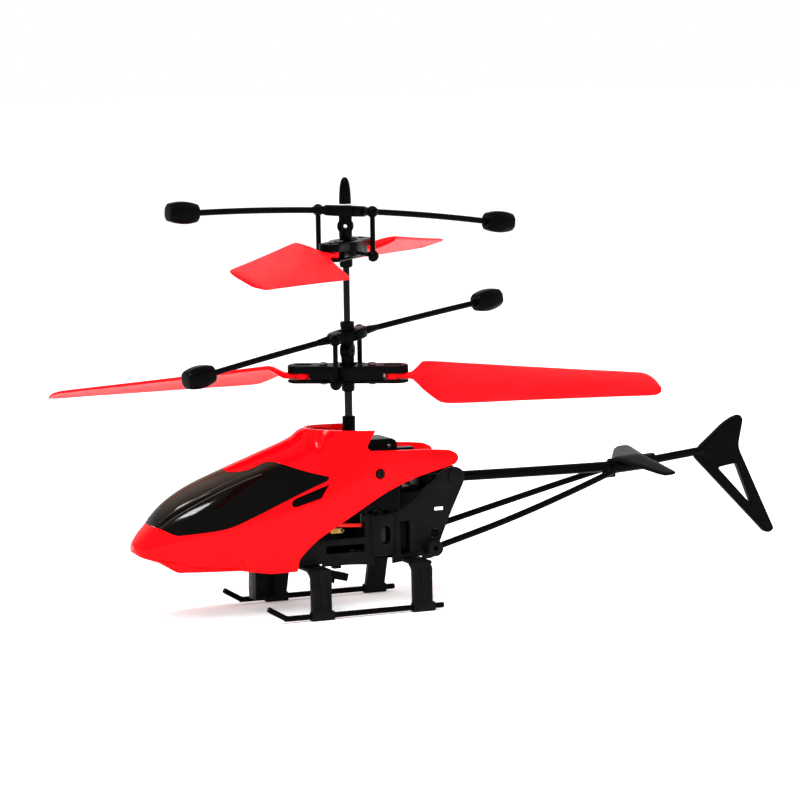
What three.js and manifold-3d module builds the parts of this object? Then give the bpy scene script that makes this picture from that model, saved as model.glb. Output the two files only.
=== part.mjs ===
// Toy remote control helicopter with two stacked rotors that turn opposite ways.
// Millimetres, +Z up, nose towards -X, tail towards +X, the aircraft's left side towards -Y.
// The ground is z = 0 and the middle plane is y = 0. The whole group is moved at the end so that its
// origin is the centre of its footprint.
import * as THREE from 'three';
import { mergeVertices } from 'three/addons/utils/BufferGeometryUtils.js';
import Module from 'manifold-3d';

const wasm = await Module();
wasm.setup();

// ---- driving dimensions -------------------------------------------------------------------
const FOOTPRINT_CENTRE_X = 25.8; // centre of the whole model
const MAST_X = -0.5;

const ROTOR_RADIUS = 72.2;
const LOWER_HEAD_Z = 53.9; // height of each rotor head's feathering axis
const UPPER_HEAD_Z = 82.25;
const LOWER_BLADE_ANGLE = -29.8; // degrees about +Z
const UPPER_BLADE_ANGLE = 49.3;

const FLYBAR_LEAD = 43; // flybar and link lines, in degrees ahead of the blades
const LINK_LEAD = 70.5;
const FLYBAR_RISE = 8.65; // flybar pivot above the feathering axis
const LINK_RADIUS = 6.16;
const LINK_DROP = 1.4; // grip arm's ball below the feathering axis
const FLYBAR_TIP = 38.2; // end of the flybar's rod
const WEIGHT_RADIUS = 41; // middle of each flybar weight
const FLYBAR_ROD_R = 0.7;
const BLADE_PIVOT = 10.3; // vertical pivot of each blade's root
const GRIP_HALF_LENGTH = 13.9;
const GRIP_SCREW = 5.6;

const INNER_SHAFT_R = 0.75;
const OUTER_SHAFT_R = 0.92;
const OUTER_SHAFT_BORE_R = 0.8;
const COLUMN_R = 1.5; // rotor head columns and the mast collar

const GEAR_MODULE = 0.3;
const MAIN_TEETH = 36;
const PINION_TEETH = 9;
const MOTOR_X = 4.5;
const MOTOR_R = 3.0;
const GEAR_DISTANCE = (GEAR_MODULE * (MAIN_TEETH + PINION_TEETH)) / 2;
const MOTOR_AFT = MOTOR_X - MAST_X;
const MOTOR_Y = Math.sqrt(GEAR_DISTANCE ** 2 - MOTOR_AFT ** 2);

const SHELL_WALL = 0.8;
const PLATE_INNER_Y = 6.0; // frame side plates
const PLATE_OUTER_Y = 7.0;
const SKID_Y = 14.2;
const SKID_Z = 1.05;
const SKID_R = 0.65;
const GAP = 0.3; // clearance between neighbouring parts

// Canopy sections: station x, roof height, then (half width, height) of the scoop line, the
// crease line, the widest line and the lower edge.
const SHELL_STATIONS = [
  [-53.3, 18.3, 0.6, 18.2, 1.1, 17.9, 1.6, 17.2, 1.0, 16.6],
  [-52.5, 19.3, 1.5, 19.2, 2.8, 18.6, 3.9, 17.3, 2.9, 15.8],
  [-51.1, 20.9, 2.0, 20.8, 3.8, 20.0, 5.3, 17.6, 4.6, 15.3],
  [-49.5, 22.5, 2.4, 22.3, 4.5, 21.4, 6.3, 18.0, 5.8, 14.9],
  [-47.6, 25.2, 2.7, 24.7, 4.9, 22.9, 7.1, 18.4, 6.6, 13.8],
  [-45.0, 27.7, 3.0, 26.9, 5.3, 24.5, 7.9, 18.9, 7.4, 12.3],
  [-39.6, 30.8, 3.3, 29.9, 5.9, 26.9, 9.0, 19.8, 8.5, 11.8],
  [-31.8, 33.8, 3.5, 33.0, 6.3, 30.5, 9.8, 21.0, 9.3, 11.8],
  [-22.9, 37.0, 3.6, 36.2, 6.6, 33.6, 10.1, 22.3, 9.6, 10.7],
  [-14.5, 40.2, 3.6, 39.2, 7.5, 35.3, 10.1, 24.0, 9.7, 10.5],
  [-11.6, 41.9, 1.6, 41.8, 7.9, 35.9, 10.1, 24.5, 9.7, 10.5],
  [-9.5, 41.9, 4.7, 41.8, 8.3, 36.2, 10.1, 25.0, 9.7, 10.5],
  [-5.0, 41.7, 7.3, 41.6, 8.9, 36.7, 10.0, 25.7, 9.6, 10.5],
  [2.3, 41.4, 8.5, 41.3, 9.2, 36.9, 9.7, 27.0, 9.2, 10.5],
  [10.0, 41.0, 8.0, 40.9, 8.7, 36.6, 9.1, 29.0, 8.7, 10.5],
  [18.0, 40.5, 7.4, 40.4, 8.0, 36.1, 8.4, 31.0, 8.1, 10.5],
  [24.0, 40.0, 6.9, 39.9, 7.5, 35.6, 7.8, 32.0, 7.6, 10.5],
];

// Side view outlines (x, z).
const SHELL_SIDE = [
  [-60, 50], [2.5, 50], [2.5, 41.3], [0.1, 37.8], [0.8, 36.8], [16.2, 36.1], [21.4, 35.6],
  [23.1, 34.7], [23.5, 33.5], [22.6, 32.3], [12.3, 30.1], [4.6, 27.3], [-6, 21.4], [-13.4, 17.2],
  [-17.2, 13.5], [-17.6, 10.75], [-28.9, 10.75], [-30.5, 11.9], [-44.5, 12.3], [-46, 8], [-60, 8],
];
const WINDSHIELD_SIDE = [
  [-58, 40], [-31.7, 40], [-31.9, 33.3], [-27.6, 33.6], [-22.9, 35.4], [-21.4, 35.4], [-19.2, 34.7],
  [-14.3, 32.9], [-9.4, 31.6], [-9.8, 30.9], [-16.5, 28.4], [-25.2, 24.9], [-31.9, 22.3],
  [-35.1, 21.5], [-39.5, 21.1], [-45.2, 20.7], [-46.3, 21.1], [-48.5, 22.3], [-49.6, 22.6], [-58, 22.6],
];
const VENT_SIDE = [
  [-18.7, 26.4], [-17.9, 27.2], [-9.5, 29.9], [-11.5, 27.0], [-17.6, 25.4], [-18.5, 25.6],
];
const PLATE_SIDE = [
  [-26, 11.2], [-13.4, 10.8], [-3.8, 10.8], [5.8, 10.1], [11, 10.7], [16.8, 10.7], [18.4, 11.6],
  [18.4, 13.4], [20.7, 18.9], [25.2, 28.2], [25.2, 30.3], [23.4, 31.6], [20.4, 31.2], [14.5, 26.5],
  [9.6, 22.2], [0.4, 21.9], [0.1, 16.9], [-26, 16.9],
];
const FIN_SIDE = [
  [88.8, 28.7], [108.1, 9.0], [109.6, 8.7], [110.85, 9.6], [100.9, 30.4], [102.3, 37.0],
  [101.4, 38.2], [99.4, 37.7], [97.0, 36.4], [90.3, 31.0],
];
const FIN_WINDOW = [[95.2, 25.7], [100.3, 26.4], [104.6, 15.8]];

// Blade sections: distance along the span, leading and trailing edge from the span line, pitch,
// thickness, and how far the section has left the grip's level for the blade's own level.
const BLADE_STATIONS = [
  [11.2, 1.25, -1.25, 0, 1.35, 0],
  [14.0, 1.25, -1.25, 0, 1.35, 0],
  [15.1, 4.2, -1.6, 12, 1.3, 0.4],
  [16.3, 7.0, -2.5, 20, 1.25, 0.8],
  [17.6, 7.1, -4.1, 22.3, 1.15, 1],
  [20.5, 6.9, -7.6, 22.3, 1.1, 1],
  [22.8, 6.65, -9.7, 22.2, 1.1, 1],
  [24.8, 6.45, -10.15, 22, 1.05, 1],
  [40.0, 4.9, -9.45, 20.7, 0.95, 1],
  [55.0, 3.4, -8.75, 19.4, 0.85, 1],
  [65.6, 2.35, -8.3, 18.4, 0.75, 1],
  [67.2, 2.05, -8.25, 18.3, 0.72, 1],
  [68.7, 0.95, -8.2, 18.2, 0.7, 1],
  [70.0, -0.75, -8.05, 18.2, 0.66, 1],
  [71.1, -2.9, -7.7, 18.2, 0.62, 1],
  [Math.sqrt(ROTOR_RADIUS ** 2 - 6.6 ** 2), -4.8, -6.6, 18.2, 0.6, 1],
];

const MATERIALS = {
  red_shell: [0xfd0f16, 0.3, 0],
  smoked_window: [0x17110e, 0.08, 0],
  red_blade: [0xff2329, 0.5, 0],
  black_plastic: [0x111214, 0.45, 0],
  dark_metal: [0x3a3d40, 0.35, 0.9],
  steel: [0xa8abad, 0.3, 1],
  white_nylon: [0xe6e4da, 0.5, 0],
  brass: [0xb08a3c, 0.35, 1],
  battery_foil: [0xbfc3c6, 0.4, 0.2],
  circuit_green: [0x14563a, 0.5, 0],
  red_wire: [0xd31a14, 0.5, 0],
};

// ---- solids -------------------------------------------------------------------------------
// Turns a closed three.js geometry into a solid that can be joined and cut.
function solidOf(geometry, matrix = null) {
  const bare = geometry.clone();
  if (matrix) bare.applyMatrix4(matrix);
  bare.deleteAttribute('normal');
  bare.deleteAttribute('uv');
  const merged = mergeVertices(bare, 1e-4);
  return solidOfTriangles(Array.from(merged.attributes.position.array), Array.from(merged.index.array));
}

function signedVolume(points, triangles) {
  const [a, b, c] = [new THREE.Vector3(), new THREE.Vector3(), new THREE.Vector3()];
  let volume = 0;
  for (let i = 0; i < triangles.length; i += 3) {
    a.fromArray(points, triangles[i] * 3);
    b.fromArray(points, triangles[i + 1] * 3);
    c.fromArray(points, triangles[i + 2] * 3);
    volume += a.dot(b.cross(c)) / 6;
  }
  return volume;
}

function solidOfTriangles(points, triangles) {
  if (signedVolume(points, triangles) < 0) {
    for (let i = 0; i < triangles.length; i += 3) {
      [triangles[i], triangles[i + 1]] = [triangles[i + 1], triangles[i]];
    }
  }
  const mesh = new wasm.Mesh({
    numProp: 3,
    vertProperties: new Float32Array(points),
    triVerts: new Uint32Array(triangles),
  });
  return new wasm.Manifold(mesh);
}

function geometryOf(solid) {
  const mesh = solid.getMesh();
  const geometry = new THREE.BufferGeometry();
  geometry.setAttribute('position', new THREE.BufferAttribute(new Float32Array(mesh.vertProperties), 3));
  geometry.setIndex(new THREE.BufferAttribute(new Uint32Array(mesh.triVerts), 1));
  geometry.computeVertexNormals();
  return geometry;
}

function join(...solids) {
  return solids.reduce((whole, piece) => whole.add(piece));
}

function cut(whole, ...tools) {
  return tools.reduce((left, tool) => left.subtract(tool), whole);
}

function block(x0, x1, y0, y1, z0, z1) {
  const box = new THREE.BoxGeometry(x1 - x0, y1 - y0, z1 - z0);
  return solidOf(box, new THREE.Matrix4().makeTranslation((x0 + x1) / 2, (y0 + y1) / 2, (z0 + z1) / 2));
}

// Round bar between two points; a second radius makes it taper.
function rod(from, to, radius, segments = 12, endRadius = radius) {
  const start = new THREE.Vector3(...from);
  const end = new THREE.Vector3(...to);
  const axis = end.clone().sub(start);
  const bar = new THREE.CylinderGeometry(endRadius, radius, axis.length(), segments);
  const turn = new THREE.Quaternion().setFromUnitVectors(new THREE.Vector3(0, 1, 0), axis.clone().normalize());
  const middle = start.add(end).multiplyScalar(0.5);
  return solidOf(bar, new THREE.Matrix4().compose(middle, turn, new THREE.Vector3(1, 1, 1)));
}

function ball(centre, radius, around = 12, up = 8) {
  const sphere = new THREE.SphereGeometry(radius, around, up);
  return solidOf(sphere, new THREE.Matrix4().makeTranslation(...centre));
}

// Plan outline (x, y) raised from z0 to z1.
function plan(points, z0, z1) {
  const shape = new THREE.Shape(points.map(([x, y]) => new THREE.Vector2(x, y)));
  const raised = new THREE.ExtrudeGeometry(shape, { depth: z1 - z0, bevelEnabled: false });
  return solidOf(raised, new THREE.Matrix4().makeTranslation(0, 0, z0));
}

// Side outline (x, z) spread from y0 to y1.
function side(points, y0, y1) {
  const flat = plan(points, -y1, -y0);
  const turned = geometryOf(flat).applyMatrix4(new THREE.Matrix4().makeRotationX(Math.PI / 2));
  return solidOf(turned);
}

// Bar of polygon section swept along a list of points.
function bar(points, radius, sides, steps) {
  const path = new THREE.CatmullRomCurve3(points.map((p) => new THREE.Vector3(...p)), false, 'centripetal');
  const section = new THREE.Shape(ring(radius, sides).map(([x, y]) => new THREE.Vector2(x, y)));
  return solidOf(new THREE.ExtrudeGeometry(section, { steps, extrudePath: path, bevelEnabled: false }));
}

function lathe(profile, segments) {
  const spun = new THREE.LatheGeometry(profile.map(([r, z]) => new THREE.Vector2(r, z)), segments);
  return solidOf(spun, new THREE.Matrix4().makeRotationX(Math.PI / 2));
}

// Closed skin through equal rings of points, capped at both ends.
function loft(rings) {
  const count = rings[0].length;
  const points = rings.flat(2);
  const triangles = [];
  for (let i = 0; i + 1 < rings.length; i += 1) {
    for (let j = 0; j < count; j += 1) {
      const a = i * count + j;
      const b = i * count + ((j + 1) % count);
      triangles.push(a, b, a + count, b, b + count, a + count);
    }
  }
  const last = (rings.length - 1) * count;
  for (let j = 1; j + 1 < count; j += 1) {
    triangles.push(0, j + 1, j, last, last + j, last + j + 1);
  }
  return solidOfTriangles(points, triangles);
}

function ring(radius, sides, offset = 0) {
  return Array.from({ length: sides }, (unused, i) => {
    const angle = ((i + offset) / sides) * 2 * Math.PI;
    return [radius * Math.cos(angle), radius * Math.sin(angle)];
  });
}

const radians = THREE.MathUtils.degToRad;

function polar(radius, degrees, z = 0) {
  return [radius * Math.cos(radians(degrees)), radius * Math.sin(radians(degrees)), z];
}

// Stadium outline along x with rounded ends.
function stadium(halfLength, halfWidth, sidesPerEnd = 4) {
  const points = [];
  for (const end of [1, -1]) {
    for (let i = 0; i <= sidesPerEnd; i += 1) {
      const angle = -Math.PI / 2 + (i / sidesPerEnd) * Math.PI;
      const x = halfLength - halfWidth + halfWidth * Math.cos(angle);
      points.push([end * x, end * halfWidth * Math.sin(angle)]);
    }
  }
  return points;
}

// ---- scene --------------------------------------------------------------------------------
const helicopter = new THREE.Group();

function place(parent, name, solid, materialName) {
  const [color, roughness, metalness] = MATERIALS[materialName];
  const material = new THREE.MeshStandardMaterial({ color, roughness, metalness });
  const mesh = new THREE.Mesh(geometryOf(solid), material);
  mesh.name = name;
  parent.add(mesh);
  return mesh;
}

function groupAt(parent, position, axis = [0, 0, 1], degrees = 0) {
  const group = new THREE.Group();
  group.position.set(...position);
  group.quaternion.setFromAxisAngle(new THREE.Vector3(...axis), radians(degrees));
  parent.add(group);
  return group;
}

// ---- rotor heads --------------------------------------------------------------------------
// A head is drawn with its blades along x. hand is +1 where the flybar leads counter-clockwise
// and -1 on the mirrored head. Ends a and b are the two halves of everything that repeats.

// Column fixed to its shaft, with stub pivots for the grip and the flybar and a cross hole.
function rotorHub(hand, top, shaftBore, boreTop) {
  const eyeZ = 5.2;
  const eyeAxis = polar(1, hand * -15);
  const teeter = polar(2.9, hand * (FLYBAR_LEAD + 90));
  const across = (vector, reach) => vector.map((value) => value * reach);
  const lift = ([x, y], z) => [x, y, z];
  const solid = join(
    rod([0, 0, -4.2], [0, 0, top], COLUMN_R, 16),
    rod([-3.3, 0, 0], [3.3, 0, 0], 0.7, 12),
    rod(lift(teeter, FLYBAR_RISE), lift(across(teeter, -1), FLYBAR_RISE), 0.6, 12),
    rod(lift(across(eyeAxis, 1.25), eyeZ), lift(across(eyeAxis, -1.25), eyeZ), 1.85, 16),
  );
  return cut(
    solid,
    rod([0, 0, -5], [0, 0, boreTop], shaftBore, 16),
    rod(lift(across(eyeAxis, 3), eyeZ), lift(across(eyeAxis, -3), eyeZ), 0.45, 10),
  );
}

// Upper half of the blade grip: a thick bar with an open slot at each end, a post for each
// blade root, a window for the column and an arm with a ball for each link.
const GRIP_TOP = 1.95;
const GRIP_BOTTOM = -1.4;

function bladeGrip(hand) {
  const slotTop = 0.25;
  let grip = join(
    plan(stadium(GRIP_HALF_LENGTH, 2.5), GRIP_BOTTOM, GRIP_TOP),
    plan(stadium(5.2, 3.35), GRIP_BOTTOM, GRIP_TOP),
  );
  for (const end of [1, -1]) {
    const slot = [8.35 * end, 20 * end].sort((a, b) => a - b);
    grip = cut(grip, block(slot[0], slot[1], -4, 4, -2, slotTop));
    grip = join(grip, rod([BLADE_PIVOT * end, 0, GRIP_BOTTOM + 0.05], [BLADE_PIVOT * end, 0, 1], 0.8, 10));
    grip = cut(grip, rod([GRIP_SCREW * end, 0, -3], [GRIP_SCREW * end, 0, 3], 0.6, 10));
    const tip = polar(LINK_RADIUS * end, hand * LINK_LEAD, -LINK_DROP);
    const root = [tip[0] * 0.45, tip[1] * 0.45, -0.8];
    grip = join(grip, rod(root, tip, 0.42, 6), ball(tip, 0.62, 8, 5));
  }
  return cut(
    grip,
    block(-1.85, 1.85, -2.15, 2.15, -3, 3),
    rod([-3.6, 0, 0], [3.6, 0, 0], 0.8, 10),
  );
}

const GRIP_PLATE_TOP = -1.5;
const GRIP_PLATE_BOTTOM = -2.05;

function gripPlate() {
  let plate = plan(stadium(GRIP_HALF_LENGTH, 2.45), GRIP_PLATE_BOTTOM, GRIP_PLATE_TOP);
  for (const end of [1, -1]) {
    plate = cut(plate, rod([GRIP_SCREW * end, 0, -3], [GRIP_SCREW * end, 0, 0], 0.6, 10));
  }
  return cut(plate, block(-1.85, 1.85, -2.15, 2.15, -3, 0));
}

function gripScrew() {
  const headStart = GRIP_TOP + 0.1;
  const nutStart = GRIP_PLATE_BOTTOM - 0.1;
  return join(
    rod([0, 0, headStart], [0, 0, headStart + 0.45], 1.05, 12, 0.8),
    rod([0, 0, nutStart - 0.1], [0, 0, headStart + 0.1], 0.45, 8),
    rod([0, 0, nutStart - 0.45], [0, 0, nutStart], 0.85, 12),
  );
}

// Blade along x from its pivot to its tip. The leading edge is on the hand side, pitched up.
// level is the height of the blade's root beyond the grip.
function blade(hand, level, droopDegrees) {
  const chordSteps = [0, 0.2, 0.55, 1];
  const camber = 0.045;
  const droopStart = 14.2;
  const gripLevel = -0.575;
  const rings = BLADE_STATIONS.map(([x, lead, trail, pitch, thick, share]) => {
    const chord = lead - trail;
    const turn = radians(pitch);
    const fall = Math.max(0, x - droopStart) * Math.tan(radians(droopDegrees));
    const height = gripLevel + share * (level - gripLevel) - fall;
    const at = (step, face) => {
      const across = lead - chord * step;
      const bulge = pitch === 0 ? 1 : 0.35 + 0.65 * Math.sqrt(Math.max(0, 1 - (2 * step - 0.8) ** 2));
      const crown = (pitch === 0 ? 0 : camber) * chord * 4 * step * (1 - step);
      const up = crown + (face * thick * bulge) / 2;
      const y = across * Math.cos(turn) - up * Math.sin(turn);
      const z = across * Math.sin(turn) + up * Math.cos(turn);
      return [x - BLADE_PIVOT, hand * y, z + height];
    };
    const upper = chordSteps.map((step) => at(step, 1));
    const lower = chordSteps.map((step) => at(step, -1)).reverse();
    return [...upper, ...lower];
  });
  const eye = rod([0, 0, -1.25], [0, 0, 0.1], 1.7, 16);
  return cut(join(loft(rings), eye), rod([0, 0, -2], [0, 0, 1], 0.95, 12));
}

// Flybar: a spindle-shaped ring round the column, two rods and two arms with a ball each.
function flybar(hand, droop) {
  const halfHeight = 1.2;
  const spindle = Array.from({ length: 16 }, (unused, i) => {
    const angle = (i / 16) * 2 * Math.PI;
    return [5.2 * Math.cos(angle), 3.05 * Math.sin(angle)];
  });
  let solid = plan(spindle, -halfHeight, halfHeight);
  for (const end of [1, -1]) {
    const path = [3.6, 12, 22, 31, FLYBAR_TIP].map((x) => [x * end, 0, -droop * (x / FLYBAR_TIP) ** 2]);
    solid = join(solid, bar(path, FLYBAR_ROD_R, 6, 5));
    const tip = polar(LINK_RADIUS * end, hand * (LINK_LEAD - FLYBAR_LEAD));
    solid = join(solid, rod([tip[0] * 0.55, tip[1] * 0.55, 0], tip, 0.42, 6), ball(tip, 0.62, 8, 5));
  }
  return cut(
    solid,
    block(-2.05, 2.05, -1.8, 1.8, -3, 3),
    rod([0, -4, 0], [0, 4, 0], 0.72, 10),
  );
}

// Barrel weight along x with a chamfered square section, bored from its inner end for the rod.
function flybarWeight() {
  const halfLength = 3.6;
  const rings = Array.from({ length: 7 }, (unused, i) => {
    const along = -halfLength + (i / 6) * 2 * halfLength;
    const bulge = Math.max(0, Math.cos((along / halfLength) * (Math.PI / 2))) ** 0.8;
    const half = 1.85 + 0.68 * bulge;
    const corner = 0.5 * half;
    const section = [[half, corner], [corner, half], [-corner, half], [-half, corner]];
    const otherSide = section.map(([y, z]) => [-y, -z]);
    return [...section, ...otherSide].map(([y, z]) => [along, y, z]);
  });
  return cut(loft(rings), rod([-5, 0, 0], [FLYBAR_TIP - WEIGHT_RADIUS + GAP, 0, 0], FLYBAR_ROD_R + 0.24, 8));
}

// Link with a ball socket at each end, both open towards the mast (-x of its own frame).
function link(length) {
  const sockets = [0, length];
  const body = join(
    rod([0, 0, 0], [0, 0, length], 0.58, 8),
    ...sockets.map((z) => ball([0, 0, z], 1.35, 10, 6)),
  );
  return cut(body, ...sockets.map((z) => rod([-2, 0, z], [0.86, 0, z], 0.85, 8)));
}

// head: where it stands and how its parts are posed at rest.
function rotorHead(name, head) {
  const { hand, height, angle, teeter, feather, folds, levels, droops, flybarDroop, hub } = head;
  const base = groupAt(mast, [0, 0, height], [0, 0, 1], angle);
  place(base, `${name}_rotor_hub`, hub, 'black_plastic');

  const grip = groupAt(base, [0, 0, 0], [1, 0, 0], feather);
  place(grip, `${name}_blade_grip`, bladeGrip(hand), 'black_plastic');
  place(grip, `${name}_grip_plate`, gripPlate(), 'black_plastic');

  const flybarFrame = groupAt(base, [0, 0, FLYBAR_RISE], [0, 0, 1], hand * FLYBAR_LEAD);
  const tilted = groupAt(flybarFrame, [0, 0, 0], [0, -1, 0], teeter);
  place(tilted, `${name}_flybar`, flybar(hand, flybarDroop), 'black_plastic');

  const rise = (LINK_RADIUS * (Math.sin(radians(teeter)) * Math.cos(radians(LINK_LEAD - FLYBAR_LEAD))
    + hand * Math.sin(radians(feather)) * Math.sin(radians(LINK_LEAD)))) / 2;
  [['a', 1, 0], ['b', -1, 180]].forEach(([end, sign, turn], index) => {
    place(groupAt(grip, [GRIP_SCREW * sign, 0, 0]), `${name}_grip_screw_${end}`, gripScrew(), 'steel');
    const half = groupAt(grip, [0, 0, 0], [0, 0, 1], turn);
    const folded = groupAt(half, [BLADE_PIVOT, 0, 0], [0, 0, 1], folds);
    place(folded, `${name}_blade_${end}`, blade(hand, levels[index], droops[index]), 'red_blade');

    const barHalf = groupAt(tilted, [0, 0, 0], [0, 0, 1], turn);
    const weight = groupAt(barHalf, [WEIGHT_RADIUS, 0, -flybarDroop]);
    place(weight, `${name}_flybar_weight_${end}`, flybarWeight(), 'black_plastic');

    const linkLine = hand * LINK_LEAD + turn;
    const foot = groupAt(base, polar(LINK_RADIUS, linkLine, -LINK_DROP + sign * rise), [0, 0, 1], linkLine);
    place(foot, `${name}_link_${end}`, link(FLYBAR_RISE + LINK_DROP), 'black_plastic');
  });
}

const mast = groupAt(helicopter, [MAST_X, 0, 0]);

rotorHead('lower', {
  hand: 1,
  height: LOWER_HEAD_Z,
  angle: LOWER_BLADE_ANGLE,
  teeter: 8.5,
  feather: 5.1,
  folds: -2.6,
  levels: [-1.4, 0.1],
  droops: [-0.6, 5.6],
  flybarDroop: 0.5,
  hub: rotorHub(1, 11.8, OUTER_SHAFT_R + 0.13, 13),
});
rotorHead('upper', {
  hand: -1,
  height: UPPER_HEAD_Z,
  angle: UPPER_BLADE_ANGLE,
  teeter: -3.8,
  feather: 2.9,
  folds: -1.5,
  levels: [-0.75, -0.75],
  droops: [2.2, 0.1],
  flybarDroop: 1.5,
  hub: rotorHub(-1, 9.9, INNER_SHAFT_R + 0.12, 4.2),
});

const cap = lathe([[0, 92.45], [1.38, 92.45], [1.38, 93.6], [1.3, 95.3], [1.1, 97], [0.75, 98.2],
  [0.35, 98.55], [0, 98.55]], 14);
place(mast, 'mast_cap', cap, 'black_plastic');

// ---- mast and gears -----------------------------------------------------------------------
const innerShaft = rod([0, 0, 22.8], [0, 0, UPPER_HEAD_Z + 3.9], INNER_SHAFT_R, 16);
place(mast, 'inner_shaft', innerShaft, 'dark_metal');
const outerShaft = cut(
  rod([0, 0, 27.2], [0, 0, LOWER_HEAD_Z + 3.5], OUTER_SHAFT_R, 16),
  rod([0, 0, 20], [0, 0, 70], OUTER_SHAFT_BORE_R, 16),
);
place(mast, 'outer_shaft', outerShaft, 'dark_metal');

// Spur gear outline with narrow straight-sided teeth; phase turns tooth 0, in degrees.
function gearOutline(teeth, phase) {
  const pitchRadius = (GEAR_MODULE * teeth) / 2;
  const tip = pitchRadius + 0.8 * GEAR_MODULE;
  const root = pitchRadius - 1.15 * GEAR_MODULE;
  const pitchAngle = 360 / teeth;
  const points = [];
  for (let i = 0; i < teeth; i += 1) {
    const middle = phase + i * pitchAngle;
    points.push(polar(root, middle - 0.3 * pitchAngle), polar(tip, middle - 0.1 * pitchAngle));
    points.push(polar(tip, middle + 0.1 * pitchAngle), polar(root, middle + 0.3 * pitchAngle));
  }
  return points.map(([x, y]) => [x, y]);
}

// side is -1 for the left motor, +1 for the right one.
function mainGear(sideSign, z, boreRadius) {
  const towardsPinion = THREE.MathUtils.radToDeg(Math.atan2(sideSign * MOTOR_Y, MOTOR_AFT));
  const halfTooth = 180 / MAIN_TEETH;
  const wheel = join(
    plan(gearOutline(MAIN_TEETH, towardsPinion + halfTooth), z, z + 1.6),
    rod([0, 0, z - 0.3], [0, 0, z + 2.2], 2.2, 14),
  );
  return cut(wheel, rod([0, 0, z - 1], [0, 0, z + 3], boreRadius, 16));
}

function pinion(sideSign, z) {
  const towardsMast = THREE.MathUtils.radToDeg(Math.atan2(-sideSign * MOTOR_Y, -MOTOR_AFT));
  return join(
    plan(gearOutline(PINION_TEETH, towardsMast), z - 0.3, z + 1.9),
    rod([0, 0, 19.4], [0, 0, z + 2.1], 0.4, 8),
  );
}

function motor() {
  const can = join(
    rod([0, 0, 12.4], [0, 0, 20.7], MOTOR_R, 16),
    rod([0, 0, 20.5], [0, 0, 22.1], 1.1, 12),
  );
  return cut(can, rod([0, 0, 19], [0, 0, 23], 0.55, 8));
}

const INNER_GEAR_Z = 24.5;
const OUTER_GEAR_Z = 27.9;
place(mast, 'inner_shaft_gear', mainGear(1, INNER_GEAR_Z, INNER_SHAFT_R + 0.12), 'white_nylon');
place(mast, 'outer_shaft_gear', mainGear(-1, OUTER_GEAR_Z, OUTER_SHAFT_R + 0.12), 'white_nylon');
for (const [name, sideSign, z] of [['left', -1, OUTER_GEAR_Z], ['right', 1, INNER_GEAR_Z]]) {
  const spot = groupAt(helicopter, [MOTOR_X, sideSign * MOTOR_Y, 0]);
  place(spot, `${name}_motor`, motor(), 'steel');
  place(spot, `${name}_pinion`, pinion(sideSign, z), 'brass');
}

// ---- canopy -------------------------------------------------------------------------------
// Half section at a station, from the roof's middle to the middle of the underside.
function sectionRing(row, inset, bottomDrop) {
  const [x, roof, scoopY, scoopZ, creaseY, creaseZ, wideY, wideZ, lowY, lowZ] = row;
  const curve = (from, control, to, count) => {
    const bend = new THREE.QuadraticBezierCurve(
      new THREE.Vector2(...from),
      new THREE.Vector2(...control),
      new THREE.Vector2(...to),
    );
    return bend.getPoints(count).slice(1).map((p) => [p.x, p.y]);
  };
  const scoop = [Math.max(0.2, scoopY - inset), scoopZ - inset];
  const crease = [Math.max(0.4, creaseY - inset * 0.9), creaseZ - inset * 0.5];
  const wide = [Math.max(0.6, wideY - inset), wideZ];
  const low = [Math.max(0.4, lowY - inset), lowZ + bottomDrop];
  const half = [
    [0, roof - inset],
    scoop,
    ...curve(scoop, [scoop[0] + 0.62 * (crease[0] - scoop[0]), scoop[1] - 0.35 * (scoop[1] - crease[1])], crease, 2),
    ...curve(crease, [wide[0] - 0.1, wide[1] + 0.55 * (crease[1] - wide[1])], wide, 3),
    ...curve(wide, [wide[0], low[1] + 0.4 * (wide[1] - low[1])], low, 2),
    [0, low[1]],
  ];
  const mirrored = half.slice(1, -1).reverse().map(([y, z]) => [-y, z]);
  return [...half, ...mirrored].map(([y, z]) => [x, y, z]);
}

const outerSkin = loft(SHELL_STATIONS.map((row) => sectionRing(row, 0, 0)));

function innerSkin(inset) {
  const chinEnd = -44;
  const rows = SHELL_STATIONS.slice(2);
  return loft(rows.map((row, i) => {
    const drop = row[0] < chinEnd ? inset : -3;
    const moved = [row[0] + (i === 0 ? 0.3 : 0) + (i === rows.length - 1 ? 6 : 0), ...row.slice(1)];
    return sectionRing(moved, inset, drop);
  }));
}

const shellCavity = innerSkin(SHELL_WALL);
const SCREW_SPOT = [3.1, 31.5];

// Roof opening inside the scoop: half an ellipse closing at the front, open to the rear.
function scoopOpening() {
  const front = Array.from({ length: 15 }, (unused, i) => {
    const angle = Math.PI / 2 + (i / 14) * Math.PI;
    return [2.3 + 13.1 * Math.cos(angle), 7.7 * Math.sin(angle)];
  });
  return plan([[3, 7.7], ...front, [3, -7.7]], 30, 50);
}

// The same outline, pushed outwards all round so that a neighbour keeps its gap.
function grown(points, amount) {
  const area = points.reduce((sum, [x, y], i) => {
    const [nextX, nextY] = points[(i + 1) % points.length];
    return sum + x * nextY - nextX * y;
  }, 0);
  const outward = area > 0 ? 1 : -1;
  return points.map(([x, y], i) => {
    const [px, py] = points[(i + points.length - 1) % points.length];
    const [nx, ny] = points[(i + 1) % points.length];
    const before = new THREE.Vector2(x - px, y - py).normalize();
    const after = new THREE.Vector2(nx - x, ny - y).normalize();
    const normal = new THREE.Vector2(before.y + after.y, -before.x - after.x).normalize();
    const stretch = Math.max(0.5, normal.x * after.y - normal.y * after.x);
    return [x + (normal.x * outward * amount) / stretch, y + (normal.y * outward * amount) / stretch];
  });
}

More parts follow.
